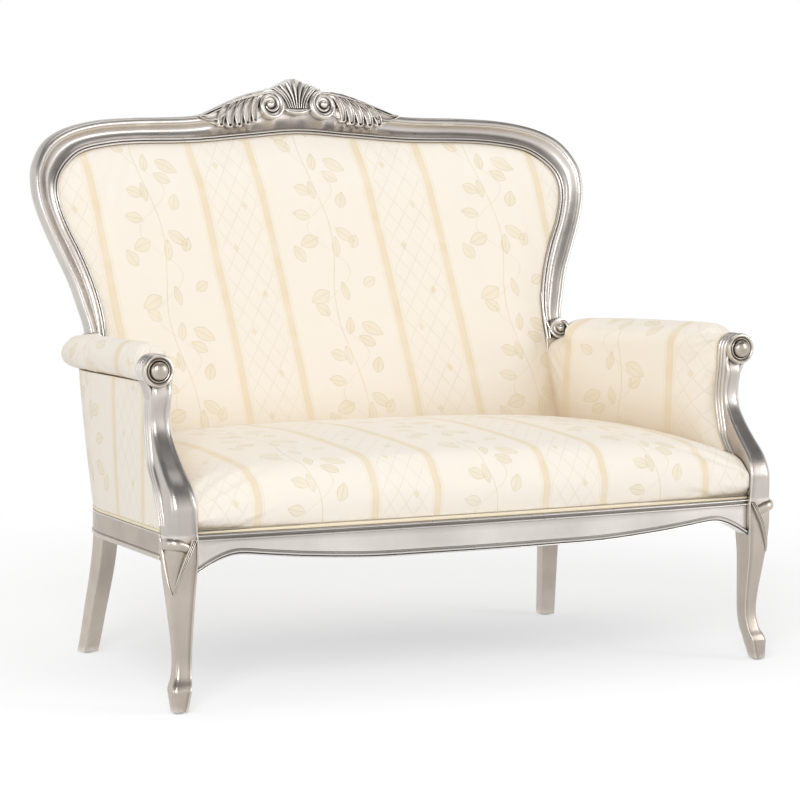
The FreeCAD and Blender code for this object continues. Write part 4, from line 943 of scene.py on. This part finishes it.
left_places = side_places * (-1, 1)
lower_places = np.stack([np.linspace(-pad_edge, pad_edge, 97), np.full(97, pad_foot)], axis=1)
back_grid = patch(lower_places, top_places, left_places, side_places)
from_rim = rim_distance(back_grid, np.concatenate([left_places, top_places, side_places]))


def cushion_sheet(front, rear):
    """A closed pad, as points and faces, between two grids of points of the same size."""
    rows, columns = front.shape[:2]
    numbers = np.arange(rows * columns).reshape(rows, columns)
    count = rows * columns
    faces = []
    corners = np.stack([numbers[:-1, :-1], numbers[:-1, 1:], numbers[1:, 1:], numbers[1:, :-1]], axis=2)
    for a, b, c, d in corners.reshape(-1, 4).tolist():
        faces += [(a, b, c, d), (count + a, count + d, count + c, count + b)]
    edge = np.concatenate([numbers[0], numbers[1:, -1], numbers[-1, -2::-1], numbers[-2:0:-1, 0]]).tolist()
    for here, there in zip(edge, edge[1:] + edge[:1]):
        faces.append((here, count + here, count + there, there))
    return np.concatenate([front.reshape(-1, 3), rear.reshape(-1, 3)]), faces


def upholstered(name, front, rear, cloth, replaces):
    """A padded piece in damask, between two grids of points, with its cloth's flat places."""
    flat = np.tile(cloth.reshape(-1, 2), (2, 1))
    piece = build(name, cushion_sheet(front, rear), cream_damask, replaces, sharp=60, uv=flat)


def back_surface(grid, depth):
    """Points over a grid of x and z, at a depth behind the face of the back."""
    x = grid[:, :, 0]
    z = grid[:, :, 1]
    return np.stack([x, back_y(x, z) + depth, z], axis=2)


def stuffed(sheet, pressure, slack, cap, flip=False):
    """The cover after a short cloth simulation: the stuffing presses it out and its tacked rim holds it."""
    rows, columns = sheet.shape[:2]
    numbers = np.arange(rows * columns).reshape(rows, columns)
    corners = [numbers[:-1, :-1], numbers[:-1, 1:], numbers[1:, 1:], numbers[1:, :-1]]
    faces = np.stack(corners[::-1] if flip else corners, axis=2).reshape(-1, 4)
    mesh = bpy.data.meshes.new("cover_in_work")
    mesh.from_pydata(sheet.reshape(-1, 3).tolist(), [], faces.tolist())
    work = placed("cover_in_work", mesh)
    rim_numbers = [numbers[:2], numbers[-2:], numbers[:, :2], numbers[:, -2:]]
    held = work.vertex_groups.new(name="tacks")
    held.add(sorted(set(np.concatenate([part.ravel() for part in rim_numbers]).tolist())), 1.0, "REPLACE")
    step = work.modifiers.new("stuffing", "CLOTH")
    cloth = step.settings
    cloth.quality = 5
    cloth.mass = 0.15
    cloth.tension_stiffness = 8
    cloth.compression_stiffness = 8
    cloth.shear_stiffness = 4
    cloth.bending_stiffness = 0.3
    cloth.vertex_group_mass = held.name
    cloth.shrink_min = -slack
    cloth.use_pressure = True
    cloth.uniform_pressure_force = pressure
    cloth.effector_weights.gravity = 0
    step.collision_settings.use_collision = False
    step.point_cache.frame_start = 1
    last_frame = 20
    step.point_cache.frame_end = last_frame
    for number in range(1, last_frame + 1):
        bpy.context.scene.frame_set(number)
    shaped = work.evaluated_get(bpy.context.evaluated_depsgraph_get()).data
    after = np.empty(len(shaped.vertices) * 3)
    shaped.vertices.foreach_get("co", after)
    bpy.data.objects.remove(work)
    bpy.context.scene.frame_set(1)
    move = after.reshape(sheet.shape) - sheet
    length = np.linalg.norm(move, axis=2)
    return sheet + move * (cap * np.tanh(length / cap) / np.maximum(length, 1e-9))[:, :, None]


roll_in = 1 - (1 - np.clip(from_rim / 0.085, 0, 1)) ** 2.4
rise_share = np.clip((back_grid[:, :, 1] - pad_foot) / 0.66, 0, 1)
dome = np.interp(rise_share, [0, 0.15, 0.35, 0.5, 0.7, 0.9, 1.0], [0.55, 0.7, 0.95, 1.0, 0.92, 0.8, 0.75])
wide = 1 - 0.35 * (np.abs(back_grid[:, :, 0]) / 0.55) ** 2
swell = 0.021 * roll_in * dome * wide
back_front = stuffed(back_surface(back_grid, 0.0035 - swell), 2.5, 0.006, 0.008)
back_cloth = np.stack([0.985 * (back_grid[:, :, 0] + 0.067 + 0.112 * (back_grid[:, :, 1] - 0.51)),
                       back_grid[:, :, 1] * 1.02 - 0.40], axis=2)
upholstered("back_cover", back_front, back_surface(back_grid, 0.0155), back_cloth, ["back_pad"])


# The seat: one tight crowned cushion over springs, with a full rolled front edge above the piping.
# Its ends go down between the arms' pads.

def arm_inner(y):
    """The inner face of an arm's pad, which closes in towards the rear."""
    return 0.556 - 0.160 * (y + 0.300)


cover_foot = 0.3153
seat_half = 0.5635
seat_falls = [(0.0, 0.0, 0.0), (0.3, 0.04, 0.05), (0.6, 0.22, 0.24), (0.86, 0.68, 0.62), (1.0, 1.25, 1.25)]
fall_grid = smoothed(both_halves(seat_falls, (-1, 1, 1)), 161)


def seat_outline(x):
    """The seat's section from its front foot over the crown to its rear foot, as y and z."""
    share = abs(x) / 0.566
    crown = np.interp(share, fall_grid[80:, 0], fall_grid[80:, 1])
    face = front_face(x)
    top = 0.4355 - crown * 0.024
    rear_top = 0.4235 - crown * 0.018
    front_top = top - 0.014
    nose = cover_foot + (front_top - cover_foot) * 0.62
    low = (cover_foot + nose) / 2
    rear_y = back_y(x, rear_top) + 0.003
    edge_y = face + 0.091
    middle_y = (edge_y + rear_y) / 2
    rows = [(face + 0.0085, cover_foot), (face + 0.0012, cover_foot + 0.010), (face - 0.0036, low - 0.006),
            (face - 0.0040, low + 0.014), (face + 0.0050, nose), (face + 0.035, front_top - (front_top - nose) * 0.3),
            (edge_y, front_top), (middle_y - 0.08, top - 0.002), (middle_y + 0.06, top), (rear_y, rear_top),
            (rear_y + 0.003, rear_top - 0.02), (back_y(x, cover_foot) + 0.003, cover_foot)]
    return smoothed(rows, 89)


def half_between_arms(section):
    """Half the seat's width at each place of its section, up to the arms' pads."""
    return np.minimum(seat_half, [arm_inner(y) + 0.004 for y in section[:, 0]])


over = np.zeros((89, 121, 3))
seat_shares = np.sin(np.linspace(-math.pi / 2, math.pi / 2, 121) * 0.82) / math.sin(math.pi * 0.41)
for column, share in enumerate(seat_shares):
    halves = half_between_arms(seat_outline(share * 0.56))
    section = np.array([seat_outline(share * half)[row] for row, half in enumerate(halves)])
    over[:, column, 0] = share * half_between_arms(section)
    over[:, column, 1:] = section


def run_across(grid):
    """How far along the cloth each row of a grid is from the first."""
    steps = np.cumsum(np.linalg.norm(np.diff(grid, axis=0), axis=2), axis=0)
    return np.concatenate([[np.zeros(grid.shape[1])], steps])


seat_cloth = np.stack([1.048 * over[:, :, 0] + 0.4695, run_across(over) + 0.09], axis=2)
over = stuffed(over, 2.5, 0.006, 0.008)
under = over.copy()
under[:, :, 2] = np.minimum(over[:, :, 2], cover_foot) - 0.0005
upholstered("seat_cover", over, under, seat_cloth, ["seat_cushion"])


# The arms: one cover goes up each padded inside, over a stuffed roll and under it to its tacks.
# The front ends behind the post and scroll, and the rear is rounded against the stile.

roll_rows = [(0.00, 0.72, 0.66, 0.00), (0.035, 0.93, 0.90, 0.00), (0.10, 1.00, 1.00, 0.00), (0.28, 1.00, 1.00, 0.00),
             (0.46, 1.00, 1.00, 0.00), (0.64, 1.00, 1.00, 0.01), (0.77, 1.00, 1.00, 0.14), (0.87, 1.00, 1.00, 0.40),
             (0.95, 1.00, 0.96, 0.71), (1.00, 0.90, 0.80, 0.95)]
fine_roll = smoothed(roll_rows, 181)
roll_front = -0.2857
roll_rear = 0.226
roll_foot = 0.562
roll_outer = 0.617
tack_inner = 0.484


def arm_section(y):
    """The arm's cover at one place along it: up the inside, over the roll and under, as x and z."""
    place = share_of(y, roll_front, roll_rear - roll_front)
    width, height, pull = read_rows(fine_roll, place)
    inner_low = arm_inner(y)
    outer = roll_outer - pull * 0.56 * (roll_outer - inner_low)
    inner = outer - width * (outer - max(inner_low, tack_inner))
    shift = (0.5300 - inner) * share_of(y, 0.146, 0.045)
    inner += shift
    top = roll_foot + height * 0.0705 - place * 0.019
    belly = roll_foot + (top - roll_foot) * 0.5
    ridge = (inner + outer) / 2
    half = (outer - inner) / 2
    rows = [(inner_low + 0.002, cover_foot), (inner_low - 0.0035, 0.39), (inner_low - 0.005, 0.46),
            (inner_low - 0.003, 0.525),
            ((inner_low + 2 * (inner - shift)) / 3 + 0.12 * shift - 0.0005, 0.566), (inner, belly)]
    for angle in (28, 56, 90, 124, 152):
        turn = math.radians(angle)
        rows.append((ridge - half * math.cos(turn) * (1.0 + 0.03 * math.sin(2 * turn) ** 2),
                     belly + (top - belly) * math.sin(turn) ** 0.92))
    rows += [(outer, belly), (outer - 0.003, roll_foot + 0.010), (outer - 0.011, roll_foot + 0.0012),
             (outer - 0.022, roll_foot + 0.0004)]
    return smoothed(rows, 97)


# The cover ends behind the post and the scroll's barrel, where its rows are drawn onto the barrel.
cover = np.zeros((97, 101, 3))
front_section = arm_section(-0.24)
barrel_radius = 0.0262
cover_shares = np.concatenate([np.linspace(0, 0.09, 25), np.linspace(0.1, 1, 76)])
for row, place in enumerate(front_section):
    height = place[1]
    low = min(height, roll_foot)
    on_barrel = eased(share_of(row, 22, 8))
    start = post_heel(height) - 0.0005
    rear = back_y(pad_edge, min(height, 0.60)) + 0.006
    finish = rear + (roll_rear - rear) * eased(share_of(row, 36, 24))
    around = place - (scroll_x, scroll_z)
    barrel = around / np.linalg.norm(around) * barrel_radius + (scroll_x, scroll_z)
    tuck = np.array((leg_x - post_section(low)[2] + 0.004, low)) * (1 - on_barrel) + barrel * on_barrel
    for column, share in enumerate(cover_shares):
        y = start + share * (finish - start)
        rounded = math.sqrt(1 - (1 - share_of(y, start, 0.024 + 0.010 * on_barrel)) ** 2)
        cover[row, column] = (*(tuck + (arm_section(y)[row] - tuck) * rounded), y)
cover = stuffed(cover[:, :, [0, 2, 1]], 3.0, 0.006, 0.006, flip=True)
inside = cover.copy()
inside[:, :, 0] = np.clip(cover[:, :, 0], arm_inner(cover[:, :, 1]) + 0.014, np.minimum(0.590, cover[-1, :, 0]))
inside[:, :, 2] = np.minimum(cover[:, :, 2], roll_foot + 0.004)
inside[78:, :, 2] = roll_foot + 0.004
arm_cloth = np.stack([0.76 * cover[:, :, 1] + 0.138, run_across(cover) + 0.05], axis=2)
for name, side in both_sides:
    mirror = (side, 1, 1)
    upholstered("arm_cover_" + name, cover * mirror, inside * mirror, arm_cloth,
                ["arm_roll_" + name, "arm_inside_pad_" + name])


# The outsides: thin padded panels that close the arms and the back, blind-tacked under the rolls
# and inside the moulding, and finished on the piping.

cover_top = 0.5617


def side_wall(rise, offset, share):
    """Plan of the arm's outer side at a height, and the way along its foot."""
    foot = np.array(side_point(0, offset, share))
    head = np.array(side_point(1, offset, share))
    x, y = (foot + rise * (head - foot))[:2]
    return x, y, foot[2]


for name, side in both_sides:
    outer_sheet = np.zeros((41, 91, 3))
    inner_sheet = np.zeros((41, 91, 3))
    side_cloth = np.zeros((41, 91, 2))
    for row, rise in enumerate(np.linspace(0, 1, 41)):
        z = cover_foot + rise * (cover_top - cover_foot)
        behind_post = post_heel(z) - 0.001 - (leg_y + leg_width / 2)
        for column, share in enumerate(np.linspace(behind_post / (0.58 + 0.03 * rise), 0.998, 91)):
            puff = 0.0022 * math.sin(math.pi * rise) ** 0.6 * math.sin(math.pi * min(1, share * 1.02)) ** 0.5
            x, y = side_wall(rise, puff - 0.001, share)[:2]
            outer_sheet[row, column] = (side * x, y, z)
            x, y, way = side_wall(rise, -0.005, share)
            inner_sheet[row, column] = (side * x, y, z)
            side_cloth[row, column] = (way + 0.150, z)
    upholstered("arm_side_" + name, outer_sheet, inner_sheet, side_cloth, ["arm_outside_panel_" + name])

panel_edge = 0.4668
panel_foot = 0.3085
panel_thick = 0.030
panel_side = smoothed([(panel_edge, panel_foot), (panel_edge, 0.413), (panel_edge, 0.505)]
                      + inner_side[:shoulder - 1:-1], 81)
panel_left = panel_side * (-1, 1)
panel_low = np.stack([np.linspace(-panel_edge, panel_edge, 97), np.full(97, panel_foot)], axis=1)
panel_grid = patch(panel_low, top_places, panel_left, panel_side)
panel_rim = rim_distance(panel_grid, np.concatenate([panel_left, top_places, panel_side]))
rear_rail_y = 0.206 + 0.485 ** 2 / (2 * bow_radius) + 0.009
rail_depth = rear_rail_y - back_y(0, 0.3083)
depth = np.interp(panel_grid[:, :, 1], [0.3083, 0.4427, stile_foot, 1.08],
                  [rail_depth, (rail_depth + panel_thick) / 2, panel_thick, panel_thick])
pillow = 0.0065 * (1 - (1 - share_of(panel_rim, 0, 0.12)) ** 2)
panel_flat = np.stack([panel_grid[:, :, 0] + 0.085, panel_grid[:, :, 1] - 0.40], axis=2)
upholstered("outside_back", back_surface(panel_grid, depth + 0.004 + pillow), back_surface(panel_grid, depth),
            panel_flat, ["outside_back_panel"])


# The piping: a cord covered with the same cloth, tacked along the rails where the cover ends, with a
# thinner welt beside each arm post, and a dark lining stretched and stapled under the seat.

def run_tree(name, size, made):
    """A node tree that makes a shape along a run of points, with one named size and a finish."""
    tree = bpy.data.node_groups.new(name, "GeometryNodeTree")
    for label, kind in (("Geometry", "Geometry"), (size, "Float"), ("Finish", "Material")):
        tree.interface.new_socket(label, in_out="INPUT", socket_type="NodeSocket" + kind)
    tree.interface.new_socket("Geometry", in_out="OUTPUT", socket_type="NodeSocketGeometry")
    start = tree.nodes.new("NodeGroupInput").outputs
    run = add_node(tree, "GeometryNodeMeshToCurve", {"Mesh": start["Geometry"]}).outputs[0]
    real = add_node(tree, "GeometryNodeRealizeInstances", {"Geometry": made(tree, run, start[size])})
    finish = add_node(tree, "GeometryNodeSetMaterial", {"Geometry": real.outputs[0], "Material": start["Finish"]})
    end = tree.nodes.new("NodeGroupOutput")
    tree.links.new(finish.outputs[0], end.inputs[0])
    return tree


def swept_cord(tree, run, radius):
    """A round section swept along the run."""
    section = add_node(tree, "GeometryNodeCurvePrimitiveCircle", {"Resolution": 14, "Radius": radius})
    return add_node(tree, "GeometryNodeCurveToMesh", {
        "Curve": run, "Profile Curve": section.outputs["Curve"], "Fill Caps": True}).outputs[0]


def row_of_staples(tree, run, spacing):
    """Staples set along the run, all lying along it."""
    places = add_node(tree, "GeometryNodeCurveToPoints", {"Curve": run, "Length": spacing}, mode="LENGTH")
    wire = add_node(tree, "GeometryNodeMeshCube", {"Size": (0.0090, 0.0012, 0.0009)})
    facing = add_node(tree, "FunctionNodeAlignRotationToVector", {"Vector": places.outputs["Tangent"]}, axis="X")
    return add_node(tree, "GeometryNodeInstanceOnPoints", {
        "Points": places.outputs[0], "Instance": wire.outputs[0], "Rotation": facing.outputs[0]}).outputs[0]


def grown(name, runs, tree, size, finish, replaces=()):
    """A finished piece from the plain mesh that a node tree makes along one or more runs of points."""
    points = []
    edges = []
    for run in runs:
        edges += [(number, number + 1) for number in range(len(points), len(points) + len(run) - 1)]
        points += [tuple(map(float, place)) for place in run]
    line = bpy.data.meshes.new(name + "_run")
    line.from_pydata(points, edges, [])
    seed = placed(name + "_run", line)
    step = seed.modifiers.new("grow", "NODES")
    step.node_group = tree
    sockets = [item for item in tree.interface.items_tree if item.in_out == "INPUT"]
    step[sockets[1].identifier] = size
    step[sockets[2].identifier] = finish
    bpy.context.view_layer.update()
    mesh = bpy.data.meshes.new_from_object(seed.evaluated_get(bpy.context.evaluated_depsgraph_get()))
    bpy.data.objects.remove(seed)
    mesh.name = name
    mesh.shade_smooth()
    set_down(name, mesh, replaces)


def plain_cloth(name, light, dark, scale, rough, depth):
    """A woven cloth, tape or covered cord, from the place on the sofa."""
    material = bpy.data.materials.new(name)
    tree = node_tree(material)
    place = own_place(tree)
    wide, deep = [add_node(tree, "ShaderNodeTexWave", {"Vector": place, "Scale": scale, "Distortion": 0.8},
                           bands_direction=way).outputs["Fac"] for way in ("X", "Y")]
    cloud = clouded(tree, place, 30.0, 4.0)
    threads = maths(tree, "MULTIPLY", wide, deep)
    shade = maths(tree, "MULTIPLY_ADD", cloud, 0.5, maths(tree, "MULTIPLY", threads, 0.5))
    return finished(material, mixed(tree, shade, dark, light), maths(tree, "MULTIPLY_ADD", cloud, 0.1, rough),
                    threads, 0.4, depth, {"Sheen Weight": 0.1, "Specular IOR Level": 0.25})


cord_cloth = plain_cloth("piping_cloth", (0.92, 0.84, 0.68), (0.84, 0.73, 0.52), 180, 0.68, 0.0003)
lining_cloth = plain_cloth("lining_cloth", (0.075, 0.070, 0.068), (0.030, 0.028, 0.027), 420, 0.80, 0.0002)
cord_tree = run_tree("swept_cord", "Radius", swept_cord)
staple_tree = run_tree("row_of_staples", "Spacing", row_of_staples)

cord_radius = 0.0036
cord_z = 0.3115
welt_radius = 0.0026
front_run = [(x, front_face(x) + 0.0040, cord_z) for x in np.linspace(-0.5622, 0.5622, 121)]
grown("front_piping", [front_run], cord_tree, cord_radius, cord_cloth, ["seat_piping"])
for name, side in both_sides:
    side_run = [side_point(0, -cord_radius, share)[:2] for share in np.linspace(0.004, 0.996, 90)]
    side_run = [(side * x, y, cord_z) for x, y in side_run]
    grown("side_piping_cord_" + name, [side_run], cord_tree, cord_radius, cord_cloth,
          ["side_piping_" + name])
for name, side in both_sides:
    welt_run = reed_path(-0.0022, barrel_radius, side)[:86] - (side * 0.0016, 0, 0)
    grown("arm_welt_" + name, [welt_run], cord_tree, welt_radius, cord_cloth)

plan = np.array([side_point(0, -0.0065, share)[:2] for share in np.linspace(0, 1, 161)])
leg_rear = -0.3580
rear_leg_front = 0.185
lining = np.zeros((49, 81, 3))
for column, share in enumerate(np.linspace(-1, 1, 81)):
    for row, way in enumerate(np.linspace(0, 1, 49)):
        y = -0.3955 + way * 0.60
        for _ in range(3):
            half = np.interp(y, plan[:, 1], plan[:, 0], left=plan[0, 0])
            half = min(half, 0.556 if y < leg_rear else half, 0.460 if y > rear_leg_front else half)
            x = share * half
            front = front_face(x) + 0.0270
            rear = 0.2560 - (x / 0.46) ** 2 * 0.044
            y = front + way * (rear - front)
        sag = 0.005 * (1 - share ** 2) * math.sin(math.pi * way)
        lift = 0.0125 * max(0.0, 1 - way / 0.16) ** 1.5
        lining[row, column] = (x, y, 0.2612 - sag + lift)
lower = lining - (0, 0, 0.0008)
sheet = build("lining_sheet", cushion_sheet(lining, lower), lining_cloth, ["dust_cover"], sharp=60)


# The inner timbers, webbing and foam: sawn hardwood rails, blocks and dowels, plain steel screws and
# glides, woven jute straps and a slab of open foam. They are hidden when the sofa is whole.

def sawn_wood(name, light, dark):
    material = bpy.data.materials.new(name)
    tree = node_tree(material)
    place = own_place(tree)
    stretch = {0: place, 1: (3.0, 30.0, 30.0)}
    long_way = add_node(tree, "ShaderNodeVectorMath", stretch, operation="MULTIPLY").outputs[0]
    grain = add_node(tree, "ShaderNodeTexNoise", {
        "Vector": long_way, "Scale": 3.0, "Detail": 8.0, "Roughness": 0.65}).outputs["Fac"]
    rings = add_node(tree, "ShaderNodeTexWave", {"Vector": long_way, "Scale": 0.8, "Distortion": 6.0, "Detail": 3.0})
    figure = maths(tree, "MULTIPLY_ADD", rings.outputs["Fac"], 0.45, maths(tree, "MULTIPLY", grain, 0.7))
    return finished(material, mixed(tree, figure, light, dark), maths(tree, "MULTIPLY_ADD", grain, 0.2, 0.55), grain,
                    0.3, 0.0004)


def plain_steel(name):
    material = bpy.data.materials.new(name)
    tree = node_tree(material)
    cloud = clouded(tree, own_place(tree), 260.0, 4.0)
    tone = mixed(tree, cloud, (0.50, 0.50, 0.50), (0.66, 0.65, 0.63))
    return finished(material, tone, maths(tree, "MULTIPLY_ADD", cloud, 0.25, 0.2), cloud, 0.15, 0.0001,
                    {"Metallic": 1.0})


def open_foam(name):
    material = bpy.data.materials.new(name)
    tree = node_tree(material)
    cells = add_node(tree, "ShaderNodeTexVoronoi", {"Vector": own_place(tree), "Scale": 420.0}).outputs["Distance"]
    tone = mixed(tree, cells, (0.72, 0.64, 0.42), (0.88, 0.82, 0.62))
    return finished(material, tone, maths(tree, "MULTIPLY_ADD", cells, 0.1, 0.85), cells, 0.6, 0.0008)


frame_wood = sawn_wood("sawn_hardwood", (0.60, 0.43, 0.26), (0.42, 0.27, 0.14))
steel = plain_steel("plain_steel")
jute = plain_cloth("jute_strap", (0.58, 0.45, 0.29), (0.40, 0.29, 0.17), 150, 0.85, 0.0006)
for node in ("back_tack_rail", "arm_rail_right", "arm_rail_left", "arm_tack_rail_right", "arm_tack_rail_left",
             "seat_stretcher", "corner_blocks", "frame_dowels"):
    carry(node, frame_wood)
for node in ("corner_screws", "floor_glides"):
    carry(node, steel)
for node in ("seat_webbing", "back_webbing"):
    carry(node, jute)
carry("seat_foam", open_foam("seat_foam_cells"))

staple_runs = [lower[2, 4:77], lower[46, 4:77], lower[8:40, 2], lower[8:40, 78]]
grown("lining_staples", staple_runs, staple_tree, 0.042, steel)
